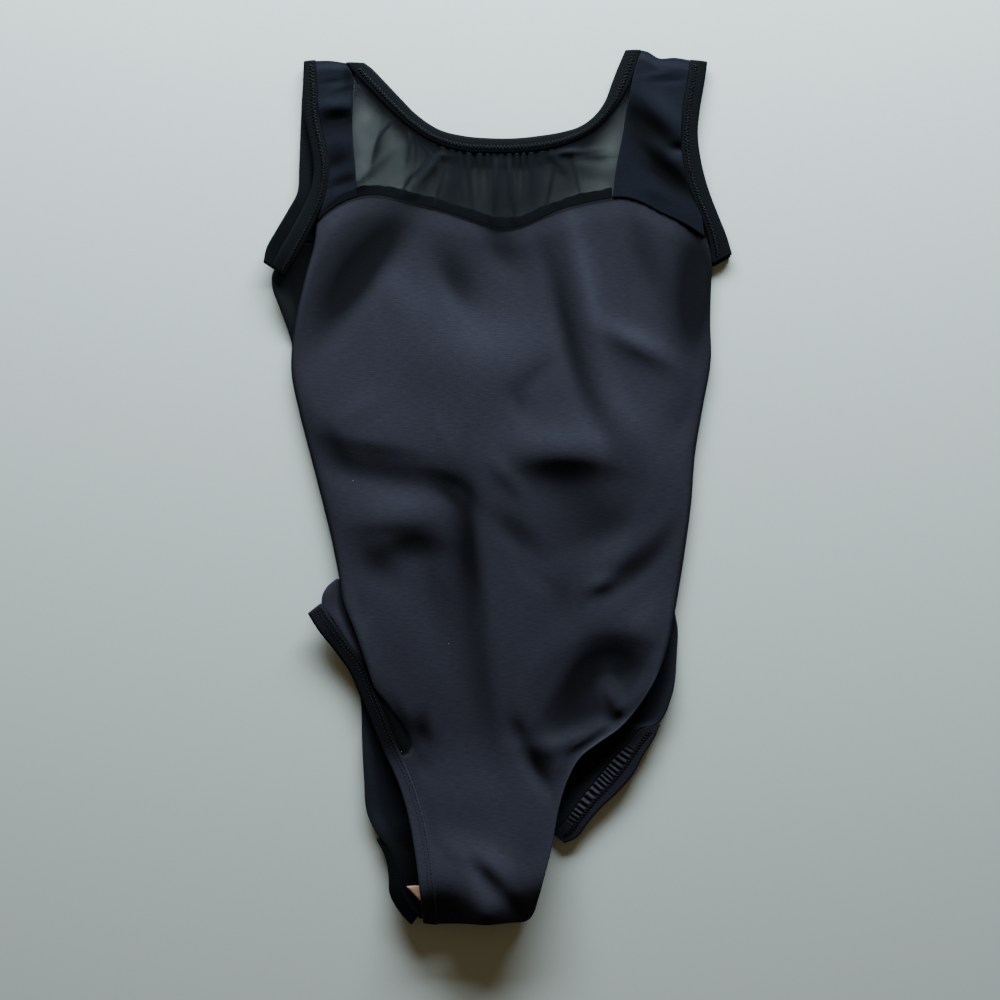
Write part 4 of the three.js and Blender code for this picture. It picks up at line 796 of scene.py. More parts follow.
@dataclass
class Cloth:
    """A sheet of cloth: a grid of its middle surface with a wall's thickness and a round rim."""

    name: str
    grid: Array
    thickness: float
    material: Material
    lies: bool = False
    uv: Array | None = None
    values: dict[str, Array] = field(default_factory=dict)
    rim_bulge: float = 0.42

    def normals(self) -> Array:
        """The grid's unit normals, all turned upwards."""
        normal = unit(np.cross(np.gradient(self.grid, axis=1), np.gradient(self.grid, axis=0)))
        return normal * np.where(normal[..., 2:] < 0, -1, 1)

    def area(self) -> float:
        """The middle surface's area in square metres."""
        g = self.grid * MM
        a, b, c, d = g[:-1, :-1], g[:-1, 1:], g[1:, 1:], g[1:, :-1]
        halves = (a, b, c), (a, c, d)
        return float(sum(np.linalg.norm(np.cross(q - p, r - p), axis=2).sum() / 2 for p, q, r in halves))

    def faced(self) -> tuple[Array, Array]:
        """The wall's upper and lower face, as grids."""
        if self.lies:
            return self.grid + (0, 0, self.thickness), self.grid
        half = self.normals() * self.thickness / 2
        return self.grid + half, self.grid - half

    def build(self) -> Piece:
        """Makes the closed shell as an object."""
        outer, inner = self.faced()
        count = outer.shape[0] * outer.shape[1]
        index = np.arange(count).reshape(outer.shape[:2])
        loop = np.concatenate([index[0, :-1], index[:-1, -1], index[-1, :0:-1], index[:0:-1, 0]])
        flat = (outer + inner).reshape(-1, 3) / 2
        inward = np.concatenate([index[1, :-1], index[:-1, -2], index[-2, :0:-1], index[:0:-1, 1]])
        out = flat[loop] - flat[inward]
        tangent = unit(np.roll(flat[loop], -1, axis=0) - np.roll(flat[loop], 1, axis=0))
        out = unit(out - tangent * (out * tangent).sum(axis=1, keepdims=True))
        rim = flat[loop] + out * self.thickness * self.rim_bulge
        quads = np.stack([index[:-1, :-1], index[:-1, 1:], index[1:, 1:], index[1:, :-1]], axis=-1).reshape(-1, 4)
        ring = np.arange(len(loop)) + 2 * count
        step = np.roll(np.arange(len(loop)), -1)
        faces = np.concatenate([quads, quads[:, ::-1] + count,
                                np.stack([loop, ring, ring[step], loop[step]], axis=-1),
                                np.stack([ring, loop + count, loop[step] + count, ring[step]], axis=-1)])
        points = np.concatenate([outer.reshape(-1, 3), inner.reshape(-1, 3), rim]) * MM
        first = points[faces[: len(quads)]]
        if np.cross(first[:, 1] - first[:, 0], first[:, 3] - first[:, 0])[:, 2].sum() < 0:
            faces = faces[:, ::-1]
        mesh = bpy.data.meshes.new(self.name)
        mesh.from_pydata(points.tolist(), [], faces.tolist())
        mesh.polygons.foreach_set("use_smooth", np.ones(len(faces), dtype=bool))
        uv = (self.grid[..., :2] if self.uv is None else self.uv).reshape(-1, 2) * MM
        uv = np.concatenate([uv, uv, uv[loop]])
        mesh.uv_layers.new(name="cloth").data.foreach_set("uv", uv[faces.ravel()].ravel())
        for label, value in self.values.items():
            value = value.ravel()
            whole = np.concatenate([value, value, value[loop]]).astype(np.float32)
            mesh.attributes.new(label, "FLOAT", "POINT").data.foreach_set("value", whole)
        mesh.materials.append(self.material)
        mesh.update()
        return put(self.name, mesh)


def dress(piece: Piece, slot: Dress, *nodes: str) -> Piece:
    """Puts a piece on the garment's body and hides the solids that it stands for."""
    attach(piece, BODY)
    if nodes:
        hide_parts(*nodes)
    LOG.info("%s: %d faces", piece.name, len(piece.data.polygons))
    return piece


@dataclass
class Band:
    """A binding or hem that follows a table of cross-sections."""

    table: Table
    stations: int
    across: int = 8
    inset: float = 0.0
    clear: float = 0.0
    crown: float = 0.0
    lift: Field | None = None
    wave: Field | None = None
    # painted shade over the band, at shares along and across it
    tone: Field | None = None

    def grid(self) -> tuple[Array, Array]:
        """The band's grid and its UV, with u across and v along."""
        return self.at(crowded(self.stations), crowded(self.across))

    def at(self, t: Array, s: Array) -> tuple[Array, Array]:
        """Points of the band at shares t along and s across, with their UV in millimetres."""
        rows = track(self.table)(t)
        outer, inner = rows[:, None, 0:2], rows[:, None, 2:4]
        width = np.linalg.norm(inner - outer, axis=2, keepdims=True)
        share = mix(self.inset / width, 1 - self.clear / width, s[None, :, None])
        place = mix(outer, inner, share)
        z = mix(rows[:, None, 4], rows[:, None, 5], s[None, :]) + self.crown * np.sin(math.pi * s)[None, :]
        if self.lift:
            z = z + self.lift(place[..., 0], place[..., 1])
        if self.wave:
            z = z + self.wave(np.broadcast_to(t[:, None], z.shape), np.broadcast_to(s[None, :], z.shape))
        middle = place[:, len(s) // 2]
        along = np.concatenate([[0.0], np.cumsum(np.linalg.norm(np.diff(middle, axis=0), axis=1))])
        uv = np.stack([share[..., 0] * width[..., 0], np.broadcast_to(along[:, None], z.shape)], axis=-1)
        return np.concatenate([place, z[..., None]], axis=-1), uv

    def painted_shades(self) -> dict[str, Array]:
        """The band's painted shade, as a cloth takes it."""
        t, s = np.meshgrid(crowded(self.stations), crowded(self.across), indexing="ij")
        return {"painted_shade": self.tone(t, s)} if self.tone else {}

    def path(self, s: float, height: float, start: float = 0.0, end: float = 1.0, count: int = 160) -> Array:
        """A line along the band at a share of its width, raised above its middle surface."""
        grid, _ = self.at(np.linspace(start, end, count), np.array([s]))
        return grid[:, 0] + (0, 0, height)


# ---------------------------------------------------------------- stitches


class Stitch(Enum):
    """The sewing machine's stitches."""

    ZIGZAG = "Zigzag"
    STRAIGHT = "Straight"


def zigzag(tree: Tree, get: dict, curve: Socket) -> Socket:
    """A zigzag thread along a curve."""
    quarter = tree.math("DIVIDE", get["Pitch"], 4.0)
    even = tree.out("GeometryNodeResampleCurve", {"Curve": curve, "Length": quarter}, mode="LENGTH")
    turn = tree.mul(tree.out("GeometryNodeInputIndex"), math.pi / 2)
    sideways = tree.mul(tree.math("COSINE", turn), tree.math("DIVIDE", get["Width"], 2.0))
    rise = tree.mul(tree.math("ABSOLUTE", tree.math("SINE", turn)), get["Thread"])
    side = tree.vector("CROSS_PRODUCT", tree.out("GeometryNodeInputTangent"), (0.0, 0.0, 1.0))
    across = tree.scaled(tree.vector("NORMALIZE", side), sideways)
    offset = tree.vector("ADD", across, tree.out("ShaderNodeCombineXYZ", {2: rise}))
    moved = tree.out("GeometryNodeSetPosition", {"Geometry": even, "Offset": offset})
    ring = tree.out("GeometryNodeCurvePrimitiveCircle", {"Resolution": 5, "Radius": get["Thread"]})
    return tree.out("GeometryNodeCurveToMesh", {"Curve": moved, "Profile Curve": ring, "Fill Caps": True})


def straight_stitch(tree: Tree, get: dict, curve: Socket) -> Socket:
    """A row of short straight stitches along a curve, each as long as the width input."""
    even = tree.out("GeometryNodeResampleCurve", {"Curve": curve, "Length": get["Pitch"]}, mode="LENGTH")
    bead = tree.out("GeometryNodeMeshUVSphere", {"Segments": 6, "Rings": 5, "Radius": 1.0})
    size = tree.out("ShaderNodeCombineXYZ", {0: tree.math("DIVIDE", get["Width"], 2.0), 1: get["Thread"],
                                             2: get["Thread"]})
    turned = tree.out("FunctionNodeAlignRotationToVector", {"Vector": tree.out("GeometryNodeInputTangent")}, axis="X")
    return tree.out("GeometryNodeInstanceOnPoints",
                    {"Points": even, "Instance": bead, "Rotation": turned, "Scale": size})


@cache
def stitch_tree(kind: Stitch) -> Group:
    """The tree that sews one kind of stitch along a line, ending in real geometry and its material.

    Args:
        kind: the stitch.

    Returns:
        A geometry group with the line, the stitch's pitch, width and thread, and its material.
    """
    group, tree, get, sink = new_group(
        f"{kind.value} stitch", "GeometryNodeTree",
        {"Geometry": (GEOMETRY, None), "Pitch": (FLOAT, 0.0025), "Width": (FLOAT, 0.003), "Thread": (FLOAT, 0.0002),
         "Material": ("NodeSocketMaterial", None)}, {"Geometry": GEOMETRY})
    curve = tree.out("GeometryNodeMeshToCurve", {0: get["Geometry"]})
    sewn = (zigzag if kind is Stitch.ZIGZAG else straight_stitch)(tree, get, curve)
    smoothed = tree.out("GeometryNodeSetShadeSmooth", {"Geometry": sewn})
    real = tree.out("GeometryNodeRealizeInstances", {"Geometry": smoothed})
    tree.feed(sink, {0: tree.out("GeometryNodeSetMaterial", {"Geometry": real, "Material": get["Material"]})})
    return group


@dataclass
class Seam:
    """Sewing along one or more lines, with one kind of stitch."""

    name: str
    lines: list[Array]
    kind: Stitch
    material: Material
    pitch: float = 2.6
    width: float = 3.4
    thread: float = 0.2

    def build(self) -> Piece:
        """Runs the stitch's tree over the lines and keeps the result as a plain mesh."""
        points, edges = [], []
        for line in self.lines:
            edges += [(len(points) + i, len(points) + i + 1) for i in range(len(line) - 1)]
            points += (line * MM).tolist()
        mesh = bpy.data.meshes.new(self.name + "_line")
        mesh.from_pydata(points, edges, [])
        guide = put(self.name + "_line", mesh)
        modifier = guide.modifiers.new("stitches", "NODES")
        modifier.node_group = stitch_tree(self.kind)
        sizes = {"Pitch": self.pitch * MM, "Width": self.width * MM, "Thread": self.thread * MM,
                 "Material": self.material}
        for item in modifier.node_group.interface.items_tree:
            if item.in_out == "INPUT" and item.name in sizes:
                modifier[item.identifier] = sizes[item.name]
        graph = bpy.context.evaluated_depsgraph_get()
        plain = bpy.data.meshes.new_from_object(guide.evaluated_get(graph))
        plain.name = self.name
        bpy.data.objects.remove(guide)
        return dress(put(self.name, plain), Dress.BINDING)


# ---------------------------------------------------------------- the leotard's pieces


def crowded(count: int, share: float = 0.0) -> Array:
    """Grid shares from 0 to 1 that crowd towards both ends."""
    t = np.linspace(0, 1, count + 1)
    return mix(t, smooth(t), share)


@dataclass
class Fabrics:
    """Every material of the leotard."""

    body: Material
    shoulder: Material
    inside: Material
    net: Material
    elastic: Material
    lining: Material
    thread: Material
    hem_thread: Material

    @classmethod
    def woven(cls) -> "Fabrics":
        """Builds them all."""
        return cls(
            body=KnitFinish("Body knit", (0.0200, 0.0186, 0.0266)).material(),
            shoulder=KnitFinish("Shoulder knit", (0.0062, 0.0068, 0.0110), sheen=0.012, specular=0.04).material(),
            # the knit's inner face: a darker copy of the body knit, painted shade for the shade that the inner face
            # lies in
            inside=KnitFinish("Knit inside", (0.0075, 0.0080, 0.0120), nap=0.9, sheen=0.02, specular=0.10).material(),
            net=NetFinish("Net").material(),
            elastic=KnitFinish("Elastic binding", (0.0024, 0.0029, 0.0037), course=1.1, wale=0.6, nap=0.2,
                               relief=0.00010, lint=0.2, sheen=0.005, specular=0.05).material(),
            lining=KnitFinish("Gusset lining", (0.42, 0.24, 0.15), course=0.9, lint=0.0, sheen=0.2,
                              sheen_tint=(1.0, 0.85, 0.75)).material(),
            thread=ThreadFinish("Thread", (0.0042, 0.0048, 0.0060)).material(),
            hem_thread=ThreadFinish("Hem thread", (0.0030, 0.0032, 0.0045)).material(),
        )


@dataclass
class SweetheartSeam:
    """The curved seam between the body and the yoke."""

    step: float = 0.78
    samples: int = 4001

    def line(self) -> Line:
        """The seam, from the left armhole to the right one."""
        return track(SWEETHEART)

    def share(self, x: float) -> float:
        """The share of the seam's length at which it reaches x."""
        t = np.linspace(0, 1, self.samples)
        return float(np.interp(x, self.line()(t)[:, 0], t))

    def above(self, start: float, end: float) -> Line:
        """The foot of a piece above the seam, between two x places."""
        return raised(part_of(self.line(), self.share(start), self.share(end)), self.step)


SEAM = SweetheartSeam()


def edge_from(foot: Line, share: float, rows: Table) -> Line:
    """A side line that starts on a foot line and then follows a table."""
    return track([tuple(point(foot, share)), *(row[:2] for row in rows)])


@dataclass(frozen=True)
class HipTuck:
    """The tuck beside the left hem, where the front starts to fold out from under itself: a shallow dip with painted
    shade in it.
    """

    widths: Table = ((-152.0, 0.0), (-164.0, 6.5), (-178.0, 11.0), (-190.0, 13.0), (-197.0, 12.0), (-202.0, 7.0),
                     (-205.0, 0.0))
    edge: float = 2.4
    depth: float = 0.8

    def __call__(self, near: Array, y: Array) -> Array:
        """How deep in the tuck a place is, from 0 to 1, at a distance from the front's left edge."""
        level, width = np.array(self.widths)[::-1].T
        return smooth((np.interp(y, level, width) - near) / self.edge)


TUCK = HipTuck()


@dataclass
class FrontBody:
    """The front of the body: one sheet from crotch to sweetheart seam, with the folds that it lies in."""

    columns: int = 170
    rows: int = 300
    relief: float = 1.1
    seam_dip: float = 0.7
    seam_from: float = 0.97
    # painted shade: along the seam's edge, in the hip tuck, in thin lines down both sides, and at most darkest in the
    # folds
    seam_shade: float = 0.994
    seam_painted_shade: float = 1.1
    tuck_painted_shade: float = 1.1
    darkest: float = 0.95
    side_painted_shade: float = 0.8
    side_width: float = 2.2
    side_from: float = -160.0
    side_over: float = 30.0
    pucker: float = 0.10
    pucker_turn: float = 0.9
    pucker_drift: float = 2.0
    drift_turn: float = 0.07
    pucker_end: float = 90.0

    def at(self, u: Array, v: Array) -> Array:
        """Points of the middle surface at shares u across and v up."""
        left, right = track(BODY_LEFT), track(BODY_RIGHT)
        place = patch(straight(BODY_LEFT[0], BODY_RIGHT[0]), SEAM.line(), left, right, u, v)
        x, y = place[..., 0], place[..., 1]
        a, b = left(v), right(v)
        near, far = margins(a, b, u)
        fade = smooth(near / FOLD_FADE) * smooth(far / FOLD_FADE)
        crown = (CROWN - (CROWN - a[:, 2:3]) * (1 - roll(near / SIDE_ROLL))
                 - (CROWN - b[:, 2:3]) * (1 - roll(far / SIDE_ROLL)))
        dip = self.seam_dip * smooth((v - self.seam_from) / (1 - self.seam_from))[:, None]
        deep = self.relief * folds(BODY_FOLDS, x, y) + folds(BODY_SWELLS, x, y) + folds(BODY_WRINKLES, x, y)
        z = held_above(crown + fade * deep - dip - TUCK.depth * TUCK(near, y), LOWEST)
        puckers = np.sin(x * self.pucker_turn + self.pucker_drift * np.sin(x * self.drift_turn))
        z = z + self.pucker * puckers * np.exp(-((self.pucker_end * (1 - v)) ** 2))[:, None]
        return with_height(place, z + CURL.front(x, y))

    def build(self, fabrics: Fabrics) -> Cloth:
        """The sheet, with its columns and rows crowded towards the edges."""
        v = crowded(self.rows, 0.4)
        grid = self.at(crowded(self.columns, 0.6), v)
        x, y = grid[..., 0], grid[..., 1]
        # painted shade in troughs and from its table (painted light under 0), then along the sides, in the tuck and at
        # the seam
        painted_shade = trough_painted_shade(folds(BODY_FOLDS, x, y)) + folds(BODY_PAINTED_SHADE, x, y)
        seam = smooth((v - self.seam_shade) / (1 - self.seam_shade))[:, None]
        near, far = (np.linalg.norm((grid - side)[..., :2], axis=2) for side in (grid[:, :1], grid[:, -1:]))
        sides = np.exp(-(near / self.side_width) ** 2) + np.exp(-(far / self.side_width) ** 2)
        sides = self.side_painted_shade * sides * smooth((y - self.side_from) / self.side_over)
        painted_shade = shaded(np.clip(painted_shade, MOST_PAINTED_LIGHT, self.darkest), np.maximum(sides, self.tuck_painted_shade * TUCK(near, y)))
        painted_shade = shaded(painted_shade, self.seam_painted_shade * seam)
        return Cloth("front_body_cloth", grid, KNIT, fabrics.body, values={"painted_shade": painted_shade})


@dataclass
class FrontShoulder:
    """One of the front's knit shoulders, between armhole, neck and seam."""

    name: str
    span: tuple[float, float]
    arm: Table
    neck: Table
    tip: Table
    columns: int
    rows: int = 80
    seam: float = 5.0
    crown: float = 4.6
    end: float = 2.8
    low: float = 2.4
    end_from: float = 0.93
    plain_tone: float = 0.22
    foot_tone: float = 0.0
    foot_width: float = 7.6
    foot_fade: float = 1.5

    def build(self, fabrics: Fabrics) -> Cloth:
        """The sheet, drawn down at the shoulder's tip."""
        foot = SEAM.above(*self.span)
        left, right = sorted((self.arm, self.neck))
        u, v = crowded(self.columns, 0.4), crowded(self.rows, 0.3)
        place = patch(foot, track(self.tip), edge_from(foot, 0, left), edge_from(foot, 1, right), u, v)
        x, y = place[..., 0], place[..., 1]
        z = held_above(mix(self.seam, self.crown, v)[:, None] + folds(SHOULDER_FOLDS, x, y)
                       + folds(SHOULDER_WRINKLES, x, y), self.low)
        z = mix(z, self.end, smooth((v - self.end_from) / (1 - self.end_from))[:, None])
        # painted shade in troughs and from SHOULDER_PAINTED_SHADE (painted light under 0), on an even darkening
        painted_shade = trough_painted_shade(folds(SHOULDER_FOLDS, x, y)) + folds(SHOULDER_PAINTED_SHADE, x, y) + self.plain_tone
        foot_shade = self.foot_tone * smooth((self.foot_width - (y - y[:1])) / self.foot_fade)
        painted_shade = shaded(np.clip(painted_shade, MOST_PAINTED_LIGHT, 1), foot_shade)
        return Cloth(self.name, with_height(place, z), KNIT, fabrics.shoulder, values={"painted_shade": painted_shade})


@dataclass
class Yoke:
    """The net yoke: front and back layers, gathered into the front's neck binding."""

    columns: int = 260
    rows: int = 90
    seam: float = 4.7
    neck: float = 3.5
    low: float = 2.6
    gathers: tuple[float, float, int] = (-54.0, 50.0, 17)
    depth: float = 0.85
    ends: float = 0.17
    gather_from: float = 0.25
    drifts: Table = ((1.5, 11.0), (0.8, 27.0))
    least: float = 0.65
    least_turn: float = 19.0
    fades: tuple[float, float] = (0.1, 0.14)
    under: float = 0.6
    back_drop: float = 1.2
    middle_width: float = 62.0
    middle_veil: float = 0.25
    fold_veil: float = 0.12
    gather_veil: float = 0.16
    crease_veil: float = 1.3

    def neck_line(self) -> Line:
        """The net's edge at the neck, just inside the binding."""
        inner = []
        for ox, oy, ix, iy, *_ in NECK_BAND[1:-1]:
            share = self.under / math.hypot(ix - ox, iy - oy)
            inner.append((ix + (ix - ox) * share, iy + (iy - oy) * share))
        return part_of(track(inner), *YOKE_NECK)

    def waves(self, x: Array, v: Array) -> Array:
        """The gathers, strongest next to the binding, with uneven spacing."""
        first, last, count = self.gathers
        share = (x - first) / (last - first)
        middle = smooth(share / self.ends) * smooth((1 - share) / self.ends)
        phase = math.tau * count * share + sum(size * np.sin(share * turn) for size, turn in self.drifts)
        strength = mix(self.least, 1.0, np.sin(share * self.least_turn + 1.0))
        return self.depth * middle * strength * smooth((v - self.gather_from) / (1 - self.gather_from)) * np.sin(phase)

    def front(self, fabrics: Fabrics) -> Cloth:
        """The front layer, with its folds and its gathers."""
        foot, top = SEAM.above(*YOKE_SPAN), self.neck_line()
        u, v = crowded(self.columns), crowded(self.rows)
        left = edge_from(foot, 0, [*YOKE_LEFT, tuple(point(top, 0))])
        right = edge_from(foot, 1, [*YOKE_RIGHT, tuple(point(top, 1))])
        place = patch(foot, top, left, right, u, v)
        x, y = place[..., 0], place[..., 1]
        high = v[:, None]
        fade = smooth(high / self.fades[0]) * smooth((1 - high) / self.fades[1])
        z = mix(self.seam, self.neck, high) + fade * (folds(YOKE_FOLDS, x, y) + folds(YOKE_WRINKLES, x, y))
        z = held_above(z + self.waves(x, high), self.low)
        middle = np.exp(-((x / self.middle_width) ** 4)) * smooth((high + 0.15) / 0.5)
        veil = (self.middle_veil * middle + self.gather_veil * middle * self.waves(x, high) / self.depth
                + self.fold_veil * np.clip(folds(YOKE_FOLDS, x, y), 0, 1.2) * fade
                + self.crease_veil * folds(NET_CREASES, x, y) * fade)
        return Cloth("front_yoke_net", with_height(place, z), NET, fabrics.net, values={"veil": veil})

    def back(self, fabrics: Fabrics) -> Cloth:
        """The back layer, flat on the floor."""
        neck = raised(self.neck_line(), -self.back_drop)
        return back_piece("back_yoke_net", YOKE_LEFT, YOKE_RIGHT, neck, NET, fabrics.net, (60, 40))


def back_piece(name: str, left: Table, right: Table, top: Line, wall: float, material: Material,
               size: tuple[int, int]) -> Cloth:
    """A flat piece of the back, from its straight seam up to a top line.

    Args:
        name: the piece's name.
        left, right: its sides above the seam.
        top: its top edge.
        wall: its thickness.
        material: its cloth.
        size: columns and rows.

    Returns:
        The sheet.
    """
    feet = [(edge[0][0] - (edge[1][0] - edge[0][0]) * 0.8, BACK_SEAM) for edge in (left, right)]
    sides = [track([foot, *edge, tuple(point(top, t))]) for foot, edge, t in zip(feet, (left, right), (0, 1))]
    u, v = crowded(size[0], 0.3), crowded(size[1], 0.2)
    place = patch(straight(*feet), top, *sides, u, v)
    return Cloth(name, with_height(place, np.zeros(place.shape[:2])), wall, material, lies=True)


@dataclass
class SeamAllowance:
    """The body's seam allowance, pressed up behind the net."""

    span: tuple[float, float] = (-128.0, 86.0)
    off: float = -1.6
    height: float = 10.0
    z: float = 3.0
    slope: float = 0.3
    tone: float = 0.7
    ragged: Table = ((0.35, 0.23, 0.0), (0.25, 0.61, 1.0))
    ripple: float = 0.12
    ripple_turn: float = 0.4

    def build(self, fabrics: Fabrics) -> Cloth:
        """The narrow strip along the seam."""
        seam = part_of(SEAM.line(), SEAM.share(self.span[0]), SEAM.share(self.span[1]))
        u, v = crowded(200), crowded(6)
        foot = seam(u)[:, :2]
        x = np.broadcast_to(foot[None, :, 0], (len(v), len(u)))
        edge = self.height + sum(size * np.sin(x * turn + start) for size, turn, start in self.ragged)
        y = foot[None, :, 1] + self.off + edge * v[:, None]
        z = self.z + (self.ripple * np.sin(x * self.ripple_turn) - self.slope) * v[:, None]
        return Cloth("yoke_seam_allowance_cloth", np.stack([x, y, z], axis=2), LINING, fabrics.elastic,
                     values={"painted_shade": np.full(x.shape, self.tone)})


@dataclass
class BackBody:
    """The back of the body, flat under the front, with its curled edges at the armhole and the legs."""

    columns: int = 90
    rows: int = 200
    # painted shade on the back's left end past the crotch fold, and growing upwards from side_from towards the underarm
    shade_from: float = -250.0
    shade_over: float = 22.0
    side_from: float = 80.0
    side_over: float = 60.0

    def build(self, fabrics: Fabrics) -> Cloth:
        """The sheet, lying on the floor but for its lifted edges and the crotch's curl."""
        left, right = track(BACK_LEFT), track(BACK_RIGHT)
        u, v = crowded(self.columns, 0.75), crowded(self.rows)
        place = patch(straight(BACK_LEFT[0], BACK_RIGHT[0]), straight(BACK_LEFT[-1], BACK_RIGHT[-1]), left, right, u, v)
        a, b = left(v), right(v)
        near, far = margins(a, b, u)
        x, y = place[..., 0], place[..., 1]
        z = (np.maximum(a[:, 2:3], 0) * (1 - smooth(near / BACK_ROLL))
             + np.maximum(b[:, 2:3], 0) * (1 - smooth(far / BACK_ROLL)) + CURL.back(x, y))
        # painted shade: the left end under the crotch fold, and the back above side_from, which shows at the underarm
        low = smooth((self.shade_from - y) / self.shade_over) * smooth(-x / self.shade_over)
        underarm_shade = smooth((y - self.side_from) / self.side_over)
        return Cloth("back_body_cloth", with_height(place, z), KNIT, fabrics.inside, lies=True,
                     values={"painted_shade": np.maximum(low, underarm_shade)})


@dataclass
class HipFold:
    """The front's side, folded out from under the body above the left leg."""

    columns: int = 24
    rows: int = 60
    slope: float = 1.5
    plain_tone: float = 0.28
    # painted shade near the flap's inner edge, under the front's edge, and towards its lower end
    inner_painted_shade: float = 0.95
    inner_from: float = 0.62
    low_until: float = 0.5

    def build(self, fabrics: Fabrics) -> Cloth:
        """The folded flap."""
        u, v = crowded(self.columns, 0.3), crowded(self.rows, 0.2)
        a, b = track(HIP_FOLD_OUTER)(v)[:, None], track(HIP_FOLD_INNER)(v)[:, None]
        place = mix(a[..., :2], b[..., :2], u[None, :, None])
        z = mix(a[..., 2], b[..., 2], smooth(u * self.slope)[None])
        # painted shade: stronger towards the inner edge, and full at the flap's lower end, on an even darkening
        shade = mix(self.plain_tone, self.inner_painted_shade, smooth((u - self.inner_from) / (1 - self.inner_from)))
        low = smooth(1 - v / self.low_until)[:, None]
        return Cloth("front_hip_fold_cloth", with_height(place, z), KNIT, fabrics.body,
                     values={"painted_shade": mix(shade[None], 1.0, low)})


@dataclass
class Gusset:
    """The nude lining of the gusset, which shows at the left leg."""

    bottom: Table = ((-57.0, -314.0), (20.0, -317.0))
    top: Table = ((-68.6, -302.0), (27.0, -299.0))
    gap: float = 0.3
    edge_lift: float = 1.5
    edge_share: float = 0.25

    def build(self, fabrics: Fabrics) -> Cloth:
        """The strip of lining, lifted at its left edge."""
        u, v = crowded(50), crowded(10)
        place = patch(straight(*self.bottom), straight(*self.top), straight(self.bottom[0], self.top[0]),
                      straight(self.bottom[1], self.top[1]), u, v)
        z = CURL.back(place[..., 0], place[..., 1]) + KNIT + self.gap
        z = z + self.edge_lift * (1 - smooth(u / self.edge_share))[None]
        return Cloth("gusset_lining_cloth", with_height(place, z), LINING, fabrics.lining, lies=True)


@dataclass
class LegGathers:
    """The puckers that the elastic draws in the right leg's hem."""

    count: int = 20
    depth: float = 0.62
    start: float = 0.18
    end: float = 0.90
    inner: float = 0.46
    fade: float = 0.18
    lit: float = -0.05
    drift: float = 1.9
    drift_turn: float = 14.0

    def along(self, t: Array) -> Array:
        """The share of the gathered stretch at a share of the hem."""
        return (t - self.start) / (self.end - self.start)

    def reach(self, t: Array, s: Array) -> Array:
        """How strongly the hem is gathered at shares t along and s across it, from 0 to 1."""
        share = self.along(t)
        return smooth(share / self.fade) * smooth((1 - share) / self.fade) * smooth((s - self.inner) / self.fade)

    def plain(self, t: Array, s: Array) -> Array:
        """The painted shade of the hem's plain part, and painted light (lit) on its gathers."""
        return mix(PLAIN_HEM_SHADE, self.lit, self.reach(t, s))

    def __call__(self, t: Array, s: Array) -> Array:
        """The wave at shares t along and s across the hem."""
        share = self.along(t)
        turn = math.tau * self.count * share + self.drift * np.sin(share * self.drift_turn)
        return self.depth * self.reach(t, s) * np.sin(turn)


@dataclass
class HipShade:
    """Painted shade on the left hem at the hip, where the front's edge hangs over it."""

    end: float = 0.56
    fade: float = 0.11
    first: float = 0.6
    inner: float = 0.45
    outer_painted_shade: float = 0.94
    inner_painted_shade: float = 1.08

    def __call__(self, t: Array, s: Array) -> Array:
        """The painted shade at shares t along and s across the hem."""
        along = smooth((self.end - t) / self.fade) * mix(self.first, 1.0, smooth(t / self.fade))
        under = smooth((t - self.fade) / self.fade) * smooth((s - self.inner) / (1 - self.inner))
        return along * mix(self.outer_painted_shade, self.inner_painted_shade, under)


@dataclass
class Trim:
    """One binding or hem: its band, the cloth that it is cut from and the node that it stands for."""

    node: str
    band: Band
    material: Material
    slot: Dress = Dress.BINDING
    wall: float = BAND
    lies: bool = False

    def build(self) -> Cloth:
        """The band as cloth, with a UV that runs across and along it."""
        grid, uv = self.band.grid()
        if self.lies:
            grid[..., 2] = np.maximum(0, grid[..., 2] - self.wall / 2)
        return Cloth(self.node + "_cloth", grid, self.wall, self.material, lies=self.lies, uv=uv,
                     values=self.band.painted_shades())


def laid(table: Table, drop: float = 1.2) -> Table:
    """A front band's table laid flat for the same band on the back."""
    return [(ox, oy - drop, ix, iy - drop, BAND / 2, BAND / 2) for ox, oy, ix, iy, *_ in table]


